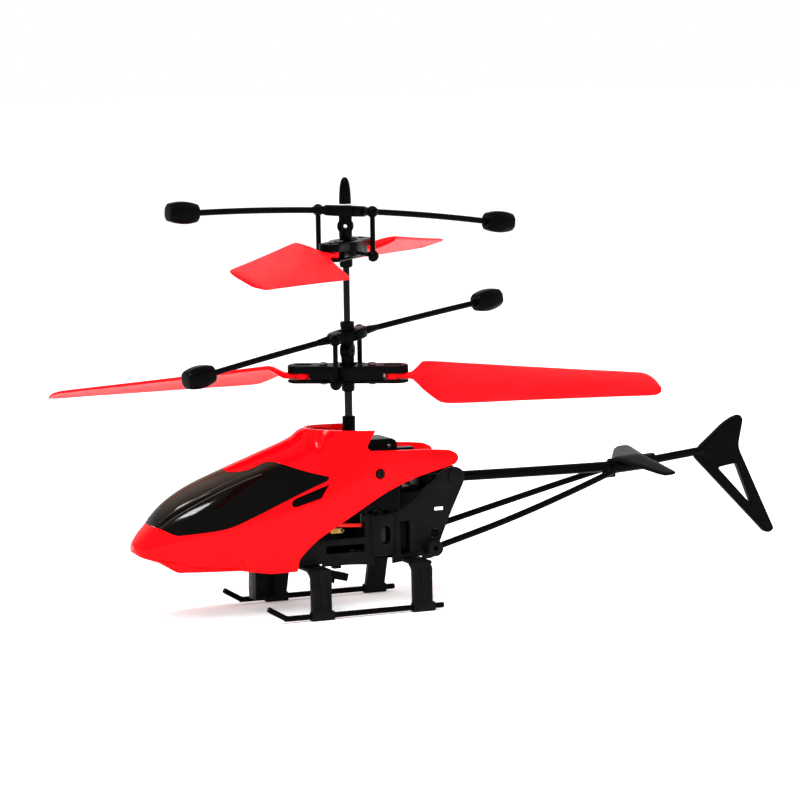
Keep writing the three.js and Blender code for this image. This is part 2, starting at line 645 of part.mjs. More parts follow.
const shellSideCut = side(SHELL_SIDE, -20, 20);
const shellSolid = cut(
  outerSkin.subtract(shellCavity).intersect(shellSideCut),
  scoopOpening(),
  side(grown(WINDSHIELD_SIDE, 0.12), -20, 20),
  side(grown(VENT_SIDE, 0.12), -20, 20),
  rod([SCREW_SPOT[0], -20, SCREW_SPOT[1]], [SCREW_SPOT[0], 20, SCREW_SPOT[1]], 1.2, 14),
);
place(helicopter, 'body_shell', shellSolid, 'red_shell');
place(
  helicopter,
  'windshield',
  outerSkin.subtract(innerSkin(0.65)).intersect(side(WINDSHIELD_SIDE, -20, 20)),
  'smoked_window',
);

for (const [name, y0, y1] of [['left', -20, 0], ['right', 0, 20]]) {
  const insert = outerSkin.subtract(innerSkin(0.7)).intersect(side(VENT_SIDE, y0, y1));
  place(helicopter, `${name}_vent_grille`, insert, 'black_plastic');
}

// ---- frame --------------------------------------------------------------------------------
const BRACE_BOSS = [16.3, 13.5];
const BRACE_BOSS_R = 1.9;
const FRONT_LEG_X = -13.4;
const REAR_LEG_X = 11.4;
const LEG_POSITIONS = [FRONT_LEG_X, REAR_LEG_X];
const CROSSBAR_BOTTOM = 10.35;
const CROSSBAR_TOP = 11.15;

function sidePlate(sign) {
  const between = (points) => {
    const ends = [sign * PLATE_INNER_Y, sign * PLATE_OUTER_Y].sort((a, b) => a - b);
    return side(points, ends[0], ends[1]);
  };
  const through = (spot, radius, segments = 12) => rod(
    [spot[0], sign * 4, spot[1]],
    [spot[0], sign * 15, spot[1]],
    radius,
    segments,
  );
  const boss = (spot, radius, height) => rod(
    [spot[0], sign * (PLATE_INNER_Y + 0.1), spot[1]],
    [spot[0], sign * (PLATE_OUTER_Y + height), spot[1]],
    radius,
    16,
  );
  const window = (x0, x1, z0, z1) => block(x0, x1, Math.min(sign * 4, sign * 12), Math.max(sign * 4, sign * 12), z0, z1);
  const axis = (z, radius, segments) => rod([MOTOR_X, sign * MOTOR_Y, z[0]], [MOTOR_X, sign * MOTOR_Y, z[1]], radius, segments);
  const withSleeve = join(between(PLATE_SIDE), axis([12.5, 21.9], MOTOR_R + 1.1, 16));
  const bored = cut(withSleeve, axis([0, 21.0], MOTOR_R + GAP, 16), axis([20, 30], MOTOR_R - 0.4, 12));
  return cut(
    join(bored, boss(BRACE_BOSS, BRACE_BOSS_R, 3.4), boss([13.4, 13.6], 0.7, 0.5), boss([23.0, 29.4], 1.9, 0.5)),
    through([17.5, 16.5], 1.0),
    through(BRACE_BOSS, 0.6),
    window(17.5, 20.1, 21.6, 22.5),
    window(8.9, 11.3, 12.2, 19.8),
    window(-9.4, 0, 13.6, 15.4),
    window(3.4, 5.9, 16.35, 18.05),
    through([4.65, 16.35], 1.25),
    through([4.65, 18.05], 1.25),
    ...LEG_POSITIONS.map((x) => window(x - 2.2, x + 3.2, 9, CROSSBAR_TOP + GAP)),
    through([-18, 14.2], 1.4),
  );
}

place(helicopter, 'left_side_plate', sidePlate(-1), 'black_plastic');
place(helicopter, 'right_side_plate', sidePlate(1), 'black_plastic');

const TRAY_BOTTOM = CROSSBAR_TOP + GAP;
const TRAY_TOP = TRAY_BOTTOM + 0.9;
const tray = cut(
  join(
    block(-27, 12, -PLATE_INNER_Y + 0.15, PLATE_INNER_Y - 0.15, TRAY_BOTTOM, TRAY_TOP),
    block(-27, -25.9, -5.6, 5.6, TRAY_BOTTOM, 13.1),
    block(-42, -25.9, -5.6, 5.6, 12.4, 13.1),
    block(-17.5, -14.5, -5.4, -3.8, TRAY_BOTTOM, 20.3),
    block(-17.5, -14.5, 3.8, 5.4, TRAY_BOTTOM, 20.3),
    block(-6.4, -4.6, -3.9, -2.1, 9.6, TRAY_TOP),
  ),
  block(-19, -9, -3.5, 3.5, 10, 13),
  rod([MOTOR_X, -MOTOR_Y, 10], [MOTOR_X, -MOTOR_Y, 13], 0.9, 10),
  rod([MOTOR_X, MOTOR_Y, 10], [MOTOR_X, MOTOR_Y, 13], 0.9, 10),
);
place(helicopter, 'belly_tray', tray, 'black_plastic');

// Gear case: lower and upper decks, side walls open round the pinions, a rear arm with the
// tail boom's socket, and a top block that carries the mast collar.
const BOOM_LINE = [[19.6, 0, 28.3], [45, 0, 28.0], [64, 0, 27.87], [70, 0, 28.05], [76, 0, 28.45]];
const BOOM_START = BOOM_LINE[0];
const BOOM_R = 1.2;

function gearCase() {
  let solid = join(
    block(-7.6, 9.0, -6.8, 6.8, 22.7, 23.9),
    block(-7.6, 9.6, -6.8, 6.8, 31.6, 32.8),
    block(-7.6, -6.6, -6.8, 6.8, 22.7, 32.8),
    block(7.6, 9.0, -6.8, 6.8, 22.7, 32.8),
    block(8.8, 24.4, -2.7, 2.7, 25.8, 31.2),
    block(16.5, 24.2, -5.7, 5.7, 27.2, 30.0),
  );
  for (const sign of [-1, 1]) {
    const wall = [sign * 6.1, sign * 6.8].sort((a, b) => a - b);
    solid = join(
      solid,
      block(-7.6, 9.0, wall[0], wall[1], 22.7, 32.8),
      rod([SCREW_SPOT[0], sign * 6.2, 31.5], [SCREW_SPOT[0], sign * 8.5, 31.5], 1.3, 14),
    );
    const opening = [sign * 5.9, sign * 9].sort((a, b) => a - b);
    solid = cut(
      solid,
      block(1.9, 7.1, opening[0], opening[1], 24.0, 30.6),
      block(-5.6, 0.6, opening[0], opening[1], 25.2, 30.6),
      rod([SCREW_SPOT[0], sign * 5.5, 31.5], [SCREW_SPOT[0], sign * 9, 31.5], 0.7, 10),
      rod([MOTOR_X, sign * MOTOR_Y, 20], [MOTOR_X, sign * MOTOR_Y, 25], 1.3, 12),
    );
  }
  const topBlock = [[-3.4, 32.2], [9.6, 32.2], [9.6, 37.6], [9.2, 38.3], [8.5, 38.7], [-2.4, 38.7], [-3.4, 37.9]];
  return cut(
    join(solid, side(topBlock, -4.2, 4.2)),
    block(-6.6, 7.6, -6.05, 6.05, 23.9, 31.6),
    block(11.4, 15.6, -3, 3, 27.0, 32),
    rod([MAST_X, 0, 20], [MAST_X, 0, 25], INNER_SHAFT_R + 0.15, 16),
    rod([MAST_X, 0, 30], [MAST_X, 0, 34], OUTER_SHAFT_R + 0.15, 16),
    rod([MAST_X, 0, 33.1], [MAST_X, 0, 40], COLUMN_R + 0.15, 16),
    rod([18.9, 0, BOOM_START[2]], [30, 0, BOOM_START[2]], BOOM_R + 0.2, 14),
  );
}

place(helicopter, 'gear_case', gearCase(), 'black_plastic');
const collar = cut(
  rod([0, 0, 33.3], [0, 0, 44], COLUMN_R, 16),
  rod([0, 0, 30], [0, 0, 50], OUTER_SHAFT_R + 0.12, 16),
);
place(mast, 'mast_collar', collar, 'black_plastic');

for (const [name, sign] of [['left', -1], ['right', 1]]) {
  const screw = join(
    rod([SCREW_SPOT[0], sign * 8.9, SCREW_SPOT[1]], [SCREW_SPOT[0], sign * 10.0, SCREW_SPOT[1]], 1.0, 14),
    rod([SCREW_SPOT[0], sign * 6.9, SCREW_SPOT[1]], [SCREW_SPOT[0], sign * 9.2, SCREW_SPOT[1]], 0.5, 8),
  );
  place(helicopter, `${name}_shell_screw`, screw, 'dark_metal');
}

// ---- electrics ----------------------------------------------------------------------------
place(helicopter, 'battery', block(-41.5, -20.4, -5.4, 5.4, 13.4, 20.2), 'battery_foil');
const board = join(
  block(-37, -12.4, -6.2, 6.2, 20.6, 21.6),
  block(-33, -27.5, -2.6, 2.6, 21.5, 22.8),
  block(-22, -17.5, -1.8, 3.2, 21.5, 23.4),
);
place(helicopter, 'circuit_board', board, 'circuit_green');
place(helicopter, 'ground_sensor', cut(
  block(-24.9, -20.2, -2.4, 2.4, 3.6, 11.15),
  rod([-22.5, -0.9, 3], [-22.5, -0.9, 5.2], 0.8, 10),
  rod([-22.5, 1.2, 3], [-22.5, 1.2, 5.2], 0.6, 10),
), 'black_plastic');
place(helicopter, 'charge_socket', cut(
  block(9.0, 15.4, -2.3, 2.3, 12.7, 15.8),
  block(11, 16, -1.7, 1.7, 13.3, 15.2),
), 'black_plastic');

const switchTilt = groupAt(helicopter, [-5.5, -3, 8.0], [0, 1, 0], 14);
place(switchTilt, 'power_switch', cut(
  block(-2.5, 2.5, -1.3, 1.3, -0.9, 0.9),
  block(-1.8, 1.8, -0.7, 0.7, -1.5, 0.1),
), 'black_plastic');
place(switchTilt, 'switch_slider', join(
  block(-1.6, -0.1, -0.5, 0.5, -0.9, -0.1),
  block(-1.4, -0.3, -0.45, 0.45, -1.9, -0.8),
), 'black_plastic');

const wireRoute = [[-12.0, -5.0, 21.1], [-10.5, -5.1, 21.0], [-8.5, -5.4, 20.5], [-5.5, -5.5, 19.9],
  [-2.5, -5.3, 19.6], [0.0, -5.0, 19.4]];
place(helicopter, 'red_motor_wire', bar(wireRoute, 0.5, 8, 14), 'red_wire');

// ---- tail ---------------------------------------------------------------------------------
place(helicopter, 'tail_boom', cut(
  bar(BOOM_LINE, BOOM_R, 14, 10),
  rod([BOOM_START[0] - 1, 0, BOOM_START[2]], [BOOM_START[0] + 6, 0, BOOM_START[2]], 0.7, 10),
), 'black_plastic');

const FIN_STUB_START = [76.4, 0, 28.5];
const fin = cut(
  join(side(FIN_SIDE, -0.7, 0.7), rod(FIN_STUB_START, [91.5, 0, 30.05], 0.98, 10)),
  side(FIN_WINDOW, -3, 3),
);
place(helicopter, 'tail_fin', fin, 'black_plastic');

// Horizontal stabiliser on a sleeve round the boom's rising end, rolled a little to the left.
const STABILISER_SPAN = 12;
const STABILISER_ROLL = 9;
const SLEEVE_MIDDLE = [72.2, 0, 28.17];
const SLEEVE_RISE = 3.4;
function stabiliser() {
  const thick = 0.8;
  const rings = [-1, 0, 1].map((sign) => {
    const y = sign * STABILISER_SPAN;
    const sweep = Math.abs(sign) * 7.0;
    const chord = 8.8 - Math.abs(sign) * 4.4;
    const drop = Math.abs(sign) * 1.4;
    const front = sweep - 5.5;
    const top = 2.1 - drop;
    return [[front, y, top - thick * 0.5], [front + 0.8, y, top], [front + chord, y, top - 0.15],
      [front + chord, y, top - thick + 0.15], [front + 0.8, y, top - thick]];
  });
  return cut(
    join(
      loft(rings),
      rod([-6, 0, 0], [6, 0, 0], 1.85, 14),
      block(-7.3, -4.8, -1.3, 1.3, -2.4, 0.6),
    ),
    rod([-12, 0, 0], [12, 0, 0], BOOM_R + 0.28, 14),
  );
}
const sleeveFrame = groupAt(helicopter, SLEEVE_MIDDLE, [0, -1, 0], SLEEVE_RISE);
const stabiliserTurn = groupAt(sleeveFrame, [0, 0, 0], [1, 0, 0], STABILISER_ROLL);
place(stabiliserTurn, 'tail_stabiliser', stabiliser(), 'black_plastic');

// Each brace bows outwards from the boss on its side plate and back in to the stabiliser's lug.
const BRACE_LINE = [[BRACE_BOSS[0] + BRACE_BOSS_R + GAP + 0.05, 9.15, 14.05], [32, 8.4, 17.46],
  [44, 6.97, 20.7], [56, 4.86, 24.1], [65.6, 2.6, 26.85]];
for (const [name, sign] of [['left', -1], ['right', 1]]) {
  const line = BRACE_LINE.map(([x, y, z]) => [x, sign * y, z]);
  place(helicopter, `${name}_tail_brace`, bar(line, 0.75, 8, 12), 'black_plastic');
}

// ---- landing gear -------------------------------------------------------------------------
const LEG_WIDTH = 4.7;
const COLLAR_HALF = 1.05;

// Slanted leg between two rectangles, each given by its centre and half sizes.
function legStrut(top, bottom) {
  const corners = ([x, y, z], halfX, halfY) => [
    [x - halfX, y - halfY, z], [x + halfX, y - halfY, z], [x + halfX, y + halfY, z], [x - halfX, y + halfY, z],
  ];
  return loft([corners(top, LEG_WIDTH / 2, 0.8), corners(bottom, LEG_WIDTH / 2, 0.75)]);
}

function landingLegs(x) {
  let solid = block(x - 1.9, x + 2.9, -12.6, 12.6, CROSSBAR_BOTTOM, CROSSBAR_TOP);
  for (const sign of [-1, 1]) {
    solid = join(
      solid,
      legStrut([x + 0.35, sign * 12.3, CROSSBAR_TOP - 0.1], [x - 0.35, sign * 14.0, 1.6]),
      block(x - 2.9, x + 2.5, sign * SKID_Y - COLLAR_HALF, sign * SKID_Y + COLLAR_HALF, 0, 2.1),
    );
    solid = cut(solid, rod([x - 9, sign * SKID_Y, SKID_Z], [x + 9, sign * SKID_Y, SKID_Z], 0.85, 12));
  }
  return solid;
}

place(helicopter, 'front_landing_legs', landingLegs(FRONT_LEG_X), 'black_plastic');
place(helicopter, 'rear_landing_legs', landingLegs(REAR_LEG_X), 'black_plastic');

for (const [name, sign] of [['left', -1], ['right', 1]]) {
  const y = sign * SKID_Y;
  const tube = join(
    rod([16.2, y, SKID_Z], [-22.4, y, SKID_Z], SKID_R, 10),
    rod([-22.2, y, SKID_Z], [-26.6, y, 3.5], SKID_R, 10),
  );
  place(helicopter, `${name}_skid`, tube, 'black_plastic');
}

helicopter.position.x = -FOOTPRINT_CENTRE_X;
helicopter.updateMatrixWorld(true);

export default helicopter;
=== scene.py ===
# Looks of the toy remote control helicopter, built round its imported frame.
from math import cos, pi, radians, sin, sqrt, tan
import bmesh
import bpy
from mathutils import Matrix, Vector


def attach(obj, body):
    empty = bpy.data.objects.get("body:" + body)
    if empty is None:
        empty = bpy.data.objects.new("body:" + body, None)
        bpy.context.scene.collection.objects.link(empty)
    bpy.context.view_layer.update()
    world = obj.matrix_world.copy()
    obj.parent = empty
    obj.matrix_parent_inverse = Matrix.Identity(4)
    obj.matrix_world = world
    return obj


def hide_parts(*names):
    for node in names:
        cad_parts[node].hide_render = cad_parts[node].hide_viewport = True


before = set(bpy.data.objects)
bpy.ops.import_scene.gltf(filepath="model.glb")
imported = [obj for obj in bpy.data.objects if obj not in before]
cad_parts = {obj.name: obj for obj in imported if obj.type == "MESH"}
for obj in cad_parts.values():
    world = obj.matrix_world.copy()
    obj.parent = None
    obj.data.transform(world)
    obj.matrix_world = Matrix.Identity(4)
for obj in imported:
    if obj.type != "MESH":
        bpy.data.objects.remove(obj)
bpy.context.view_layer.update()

# ---- driving dimensions, in mm ----
MM = 0.001
FOOTPRINT_CENTRE_X = 25.8
MAST_X = -0.5
LOWER_HEAD_Z = 53.9
UPPER_HEAD_Z = 82.25
FLYBAR_LEAD = 43
LINK_LEAD = 70.5
FLYBAR_RISE = 8.65
LINK_RADIUS = 6.16
LINK_DROP = 1.4
LINK_BALL_R = 1.35
LINK_SOCKET_R = 0.85
ARM_R = 0.42
ARM_BALL_R = 0.62
FLYBAR_TIP = 38.2
WEIGHT_RADIUS = 41
FLYBAR_ROD_R = 0.7
BLADE_PIVOT = 10.3
GRIP_HALF_LENGTH = 13.9
GRIP_SCREW = 5.6
GRIP_TOP = 1.95
GRIP_BOTTOM = -1.4
ROTOR_RADIUS = 72.2
INNER_SHAFT_R = 0.75
OUTER_SHAFT_R = 0.92
COLUMN_R = 1.5
MOTOR_X = 4.5
MOTOR_R = 3.0
MOTOR_Y = sqrt(6.75 ** 2 - (MOTOR_X - MAST_X) ** 2)
PLATE_INNER_Y = 6.0
PLATE_OUTER_Y = 7.0
SKID_Y = 14.2
SKID_Z = 1.05
SHELL_WALL = 0.8
WINDOW_WALL = 0.65
SCREW_SPOT = (3.1, 31.5)
BRACE_BOSS = (16.3, 13.5)
FRONT_LEG_X = -13.4
REAR_LEG_X = 11.4
CROSSBAR_BOTTOM = 10.35
CROSSBAR_TOP = 11.15

PLATE_CUT = (4, 15)  # y range of a cut through a side plate
WIDE = 20  # clear of the body on either side
SIDES = (("left", -1), ("right", 1))
RIM_STEPS = 3

ROOT = Matrix.Scale(MM, 4) @ Matrix.Translation((-FOOTPRINT_CENTRE_X, 0, 0))


def place(x, y, z):
    """A point in mm, in the part's frame in metres."""
    return ROOT @ Vector((x, y, z))


def linked(name, data):
    """A new object that holds the data and is part of the scene."""
    made = bpy.data.objects.new(name, data)
    bpy.context.scene.collection.objects.link(made)
    return made


def moved(parent, spot, axis=(0, 0, 1), degrees=0):
    turn = Matrix.Rotation(radians(degrees), 4, Vector(axis))
    return parent @ Matrix.Translation(Vector(spot)) @ turn


# ---- camera, floor and light ----
def add_camera():
    azimuth = radians(-23.44)
    elevation = radians(6.53)
    roll = radians(0.88)
    distance = 0.7386
    back = Vector((sin(azimuth) * cos(elevation),
                   -cos(azimuth) * cos(elevation),
                   sin(elevation)))
    right = Vector((0, 0, 1)).cross(back).normalized()
    up = back.cross(right)
    tilted_up = up * cos(roll) + right * sin(roll)
    tilted_right = right * cos(roll) - up * sin(roll)
    spot = place(12.35, 0, 46.89) + back * distance
    camera = linked("camera", bpy.data.cameras.new("camera"))
    turn = Matrix((tilted_right, tilted_up, back)).transposed()
    camera.matrix_world = Matrix.Translation(spot) @ turn.to_4x4()
    camera.data.sensor_width = 36
    camera.data.lens = 144.4
    camera.data.clip_start = 0.01
    bpy.context.scene.camera = camera


def add_softbox(name, spot, aim, size, power, mirrored=False):
    light = bpy.data.lights.new(name, "AREA")
    light.shape = "RECTANGLE"
    light.size, light.size_y = size
    light.energy = power
    lamp = linked(name, light)
    lamp.location = spot
    lamp.visible_glossy = mirrored
    lamp.rotation_euler = (Vector(aim) - Vector(spot)).to_track_quat("-Z", "Y").to_euler()


def add_studio():
    world = bpy.data.worlds.new("studio")
    world.use_nodes = True
    background = world.node_tree.nodes["Background"]
    background.inputs["Color"].default_value = (1, 1, 1, 1)
    background.inputs["Strength"].default_value = 1.0
    bpy.context.scene.world = world
    bpy.context.scene.view_settings.view_transform = "Standard"
    middle = (0, 0, 0.04)
    add_softbox("key", (-0.45, -0.7, 0.75), middle, (0.5, 0.5), 9)
    add_softbox("glint", (-0.38, -0.32, 0.96), middle, (0.3, 0.05), 9, mirrored=True)
    add_softbox("fill", (0.8, -0.5, 0.45), middle, (0.5, 0.5), 4)


# ---- materials ----
def node_of(tree, kind, **inputs):
    node = tree.nodes.new(kind)
    for key, value in inputs.items():
        node.inputs[key.replace("_", " ")].default_value = value
    return node


def grain(tree, scale, stretch):
    """Noise over the piece's own coordinates, which run in metres."""
    coordinates = node_of(tree, "ShaderNodeTexCoord")
    mapping = node_of(tree, "ShaderNodeMapping", Scale=stretch)
    tree.links.new(coordinates.outputs["Object"], mapping.inputs["Vector"])
    noise = node_of(tree, "ShaderNodeTexNoise", Scale=scale, Detail=3.0, Roughness=0.6)
    tree.links.new(mapping.outputs["Vector"], noise.inputs["Vector"])
    return noise.outputs["Fac"]


def spread(tree, value, low, high):
    """Turns noise into a value between low and high."""
    span = node_of(tree, "ShaderNodeMapRange", From_Min=0.3, From_Max=0.7, To_Min=low, To_Max=high)
    tree.links.new(value, span.inputs["Value"])
    return span.outputs["Result"]


def finish(name, colours, roughness, bump, scale, stretch=(1, 1, 1), edge=0.12, **fixed):
    """A moulded or metal finish: two close colours, a range of roughness and a fine bump."""
    material = bpy.data.materials.new(name)
    material.use_nodes = True
    tree = material.node_tree
    shader = tree.nodes["Principled BSDF"]
    for key, value in fixed.items():
        shader.inputs[key.replace("_", " ")].default_value = value
    broad = grain(tree, scale * 0.12, stretch)
    ramp = tree.nodes.new("ShaderNodeValToRGB")
    for element, position, colour in zip(ramp.color_ramp.elements, (0.35, 0.65), colours):
        element.position = position
        element.color = (*colour, 1)
    tree.links.new(broad, ramp.inputs["Fac"])
    tree.links.new(ramp.outputs["Color"], shader.inputs["Base Color"])
    fine = grain(tree, scale, stretch)
    tree.links.new(spread(tree, fine, *roughness), shader.inputs["Roughness"])
    rounding = node_of(tree, "ShaderNodeBevel", Radius=edge * MM)
    rounding.samples = 6
    relief = node_of(tree, "ShaderNodeBump", Strength=bump, Distance=0.1 * MM)
    tree.links.new(fine, relief.inputs["Height"])
    tree.links.new(rounding.outputs["Normal"], relief.inputs["Normal"])
    tree.links.new(relief.outputs["Normal"], shader.inputs["Normal"])
    return material


def add_painted_top_sheen(material):
    """Paints a dark tan sheen on the smoked glass where it faces up, a painted reflection of the light
    from above; its sides stay black.
    """
    tree = material.node_tree
    shader = tree.nodes["Principled BSDF"]
    facing = tree.nodes.new("ShaderNodeNewGeometry")
    parts = tree.nodes.new("ShaderNodeSeparateXYZ")
    tree.links.new(facing.outputs["Normal"], parts.inputs["Vector"])
    upward = node_of(tree, "ShaderNodeMapRange", From_Min=0.55, From_Max=0.95)
    tree.links.new(parts.outputs["Z"], upward.inputs["Value"])
    sheen_mix = node_of(tree, "ShaderNodeMix", Factor=0.0)
    sheen_mix.data_type = "RGBA"
    dark = shader.inputs["Base Color"].links[0].from_socket
    tree.links.new(upward.outputs["Result"], sheen_mix.inputs["Factor"])
    tree.links.new(dark, sheen_mix.inputs["A"])
    # Colour of the painted sheen: the reflection of light from above, painted onto the upward faces.
    sheen_mix.inputs["B"].default_value = (0.04, 0.029, 0.023, 1)
    tree.links.new(sheen_mix.outputs["Result"], shader.inputs["Base Color"])


def add_tracks(material):
    """A pattern of tracks under the green solder mask."""
    tree = material.node_tree
    tracks = node_of(tree, "ShaderNodeTexBrick", Scale=260.0, Color1=(0.008, 0.085, 0.04, 1),
                     Color2=(0.014, 0.13, 0.06, 1), Mortar=(0.03, 0.2, 0.09, 1), Mortar_Size=0.03)
    coordinates = tree.nodes.new("ShaderNodeTexCoord")
    tree.links.new(coordinates.outputs["Object"], tracks.inputs["Vector"])
    tree.links.new(tracks.outputs["Color"], tree.nodes["Principled BSDF"].inputs["Base Color"])


# For each look: two colours, a range of roughness, the bump, the grain's scale and what else it sets.
FINISHES = {
    "red_shell": ([(0.72, 0.0006, 0.0025), (0.78, 0.0012, 0.0038)], (0.12, 0.2), 0.05, 900,
                  dict(edge=0.3, Specular_IOR_Level=0.04, Coat_Weight=0.03, Coat_Roughness=0.05)),
    "smoked_window": ([(0.0007, 0.0006, 0.0005), (0.0012, 0.001, 0.0009)], (0.04, 0.09), 0.015, 700,
                      dict(edge=0.35, Specular_IOR_Level=0.045)),
    # Lighter than the smoked glass: a painted highlight along the windscreen's raised lines.
    "painted_highlight_line": ([(0.016, 0.014, 0.012), (0.03, 0.026, 0.022)], (0.3, 0.4), 0.02, 900,
                    dict(edge=0.05, Specular_IOR_Level=0.1)),
    "red_blade": ([(0.82, 0.0012, 0.0035), (0.9, 0.0028, 0.0065)], (0.38, 0.5), 0.08, 1200,
                  dict(stretch=(0.25, 1, 1), Specular_IOR_Level=0.05, Subsurface_Weight=0.15,
                       Subsurface_Radius=(0.002, 0.0004, 0.0004), Subsurface_Scale=1.0)),
    "black_plastic": ([(0.0004, 0.0004, 0.0006), (0.0009, 0.0009, 0.0012)], (0.2, 0.36), 0.12, 1600,
                      dict(Specular_IOR_Level=0.025)),
    "frame_black": ([(0.002, 0.002, 0.0023), (0.0034, 0.0034, 0.0038)], (0.4, 0.55), 0.2, 2200,
                    dict(Specular_IOR_Level=0.05)),
    "dark_metal": ([(0.003, 0.0032, 0.0036), (0.008, 0.0083, 0.009)], (0.25, 0.42), 0.1, 3000,
                   dict(stretch=(1, 1, 0.03), Metallic=0.8, Specular_IOR_Level=0.2)),
    "screw_steel": ([(0.1, 0.1, 0.105), (0.2, 0.2, 0.2)], (0.2, 0.36), 0.08, 4000,
                    dict(edge=0.06, Metallic=1.0)),
    # The motors' steel is made nearly black: painted shade, for motors that sit in shade inside the
    # frame.
    "motor_steel": ([(0.01, 0.0085, 0.007), (0.022, 0.019, 0.016)], (0.25, 0.4), 0.1, 3000,
                    dict(stretch=(1, 1, 12), Metallic=1.0)),
    "white_nylon": ([(0.70, 0.69, 0.64), (0.78, 0.77, 0.72)], (0.4, 0.55), 0.1, 1500,
                    dict(Specular_IOR_Level=0.1, Subsurface_Weight=0.1,
                         Subsurface_Radius=(0.001, 0.001, 0.001), Subsurface_Scale=1.0)),
    "brass": ([(0.2, 0.12, 0.03), (0.32, 0.2, 0.055)], (0.2, 0.34), 0.08, 3500,
              dict(edge=0.05, Metallic=1.0)),
    "battery_foil": ([(0.30, 0.32, 0.34), (0.40, 0.42, 0.44)], (0.25, 0.5), 0.5, 500,
                     dict(Metallic=0.3)),
    "red_wire": ([(0.62, 0.006, 0.005), (0.78, 0.012, 0.008)], (0.3, 0.42), 0.1, 1500,
                 dict(Specular_IOR_Level=0.2)),
    "circuit_green": ([(0.006, 0.07, 0.03), (0.012, 0.12, 0.055)], (0.25, 0.4), 0.1, 1500, {}),
    "pale_floor": ([(0.89, 0.89, 0.89), (0.91, 0.91, 0.91)], (0.85, 0.95), 0.02, 200,
                   dict(Specular_IOR_Level=0.0, Emission_Color=(1, 1, 1, 1), Emission_Strength=0.2)),
}
MATERIALS = {look: finish(look, *facts, **others) for look, (*facts, others) in FINISHES.items()}
# The smoked glass gets a painted sheen, a reflection of light from above, where it faces up.
add_painted_top_sheen(MATERIALS["smoked_window"])
add_tracks(MATERIALS["circuit_green"])


# ---- mesh kit: solids are temporary objects in mm ----
def solid(points, faces):
    mesh = bpy.data.meshes.new("solid")
    mesh.from_pydata([tuple(p) for p in points], [], faces)
    work = bmesh.new()
    work.from_mesh(mesh)
    bmesh.ops.remove_doubles(work, verts=work.verts, dist=1e-5)
    bmesh.ops.recalc_face_normals(work, faces=work.faces)
    work.to_mesh(mesh)
    work.free()
    return linked("solid", mesh)


def loft(rings):
    count = len(rings[0])
    faces = []
    for i in range(len(rings) - 1):
        for j in range(count):
            a = i * count + j
            b = i * count + (j + 1) % count
            faces.append((a, b, b + count, a + count))
    faces.append(tuple(range(count)))
    last = (len(rings) - 1) * count
    faces.append(tuple(range(last, last + count)))
    return solid([p for ring in rings for p in ring], faces)


def combined(target, tools, operation):
    for tool in tools:
        step = target.modifiers.new("step", "BOOLEAN")
        step.operation = operation
        step.object = tool
        step.solver = "MANIFOLD"
    graph = bpy.context.evaluated_depsgraph_get()
    mesh = bpy.data.meshes.new_from_object(target.evaluated_get(graph))
    target.modifiers.clear()
    target.data = mesh
    for tool in tools:
        bpy.data.objects.remove(tool)
    return target


def join(first, *others):
    return combined(first, others, "UNION")


def cut(first, *tools):
    return combined(first, tools, "DIFFERENCE")


def overlap(first, tool):
    return combined(first, [tool], "INTERSECT")


def shaped(made, matrix):
    """The solid after a move, a turn or a shear, with its faces still pointing out."""
    made.data.transform(matrix)
    if matrix.to_3x3().determinant() < 0:
        made.data.flip_normals()
    return made


def grown(points, amount):
    """A closed outline pushed outwards all round."""
    area = sum(p[0] * q[1] - q[0] * p[1] for p, q in zip(points, points[1:] + points[:1]))
    outward = 1 if area > 0 else -1
    result = []
    for i, (x, y) in enumerate(points):
        before = (Vector((x, y)) - Vector(points[i - 1])).normalized()
        after = (Vector(points[(i + 1) % len(points)]) - Vector((x, y))).normalized()
        normal = Vector((before.y + after.y, -before.x - after.x)).normalized()
        stretch = max(0.5, normal.x * after.y - normal.y * after.x)
        result.append((x + normal.x * outward * amount / stretch,
                       y + normal.y * outward * amount / stretch))
    return result


def softened(points, trims=None, share=0.45, steps=5):
    """The outline with its corners turned into arcs. trims gives the length in mm that a corner
    takes from its two sides; other corners take that share of the shorter side."""
    trims = trims or {}
    result = []
    for i, corner in enumerate(points):
        here = Vector(corner)
        before = Vector(points[i - 1]) - here
        after = Vector(points[(i + 1) % len(points)]) - here
        limit = share * min(before.length, after.length)
        length = min(trims.get(i, limit), limit)
        start = here + before.normalized() * length
        end = here + after.normalized() * length
        for k in range(steps + 1):
            t = k / steps
            result.append(tuple(start * (1 - t) ** 2 + here * 2 * t * (1 - t) + end * t ** 2))
    return result


def plan(points, z0, z1, edge=0.0):
    """An outline in x and y raised from z0 to z1, with its rims rounded by edge."""
    if edge == 0:
        return loft([[(x, y, z) for x, y in points] for z in (z0, z1)])
    turns = [pi / 2 * i / RIM_STEPS for i in range(RIM_STEPS + 1)]
    rims = [(edge * (1 - sin(a)), edge * (1 - cos(a))) for a in turns]
    rings = [[(x, y, z0 + rise) for x, y in grown(points, -inset)] for inset, rise in rims]
    rings += [[(x, y, z1 - rise) for x, y in grown(points, -inset)] for inset, rise in reversed(rims)]
    return loft(rings)


def side(points, y0, y1, edge=0.0):
    """An outline in x and z spread between y0 and y1."""
    y0, y1 = sorted((y0, y1))
    return shaped(plan(points, -y1, -y0, edge), Matrix.Rotation(pi / 2, 4, "X"))


def across(points, x0, x1, edge=0.0):
    """An outline in y and z drawn out from x0 to x1."""
    axes = Matrix(((0, 0, 1, 0), (1, 0, 0, 0), (0, 1, 0, 0), (0, 0, 0, 1)))
    return shaped(plan(points, x0, x1, edge), axes)


def circle(radius, sides):
    turns = [2 * pi * i / sides for i in range(sides)]
    return [(radius * cos(a), radius * sin(a)) for a in turns]


def rectangle(x0, x1, y0, y1):
    return [(x0, y0), (x1, y0), (x1, y1), (x0, y1)]


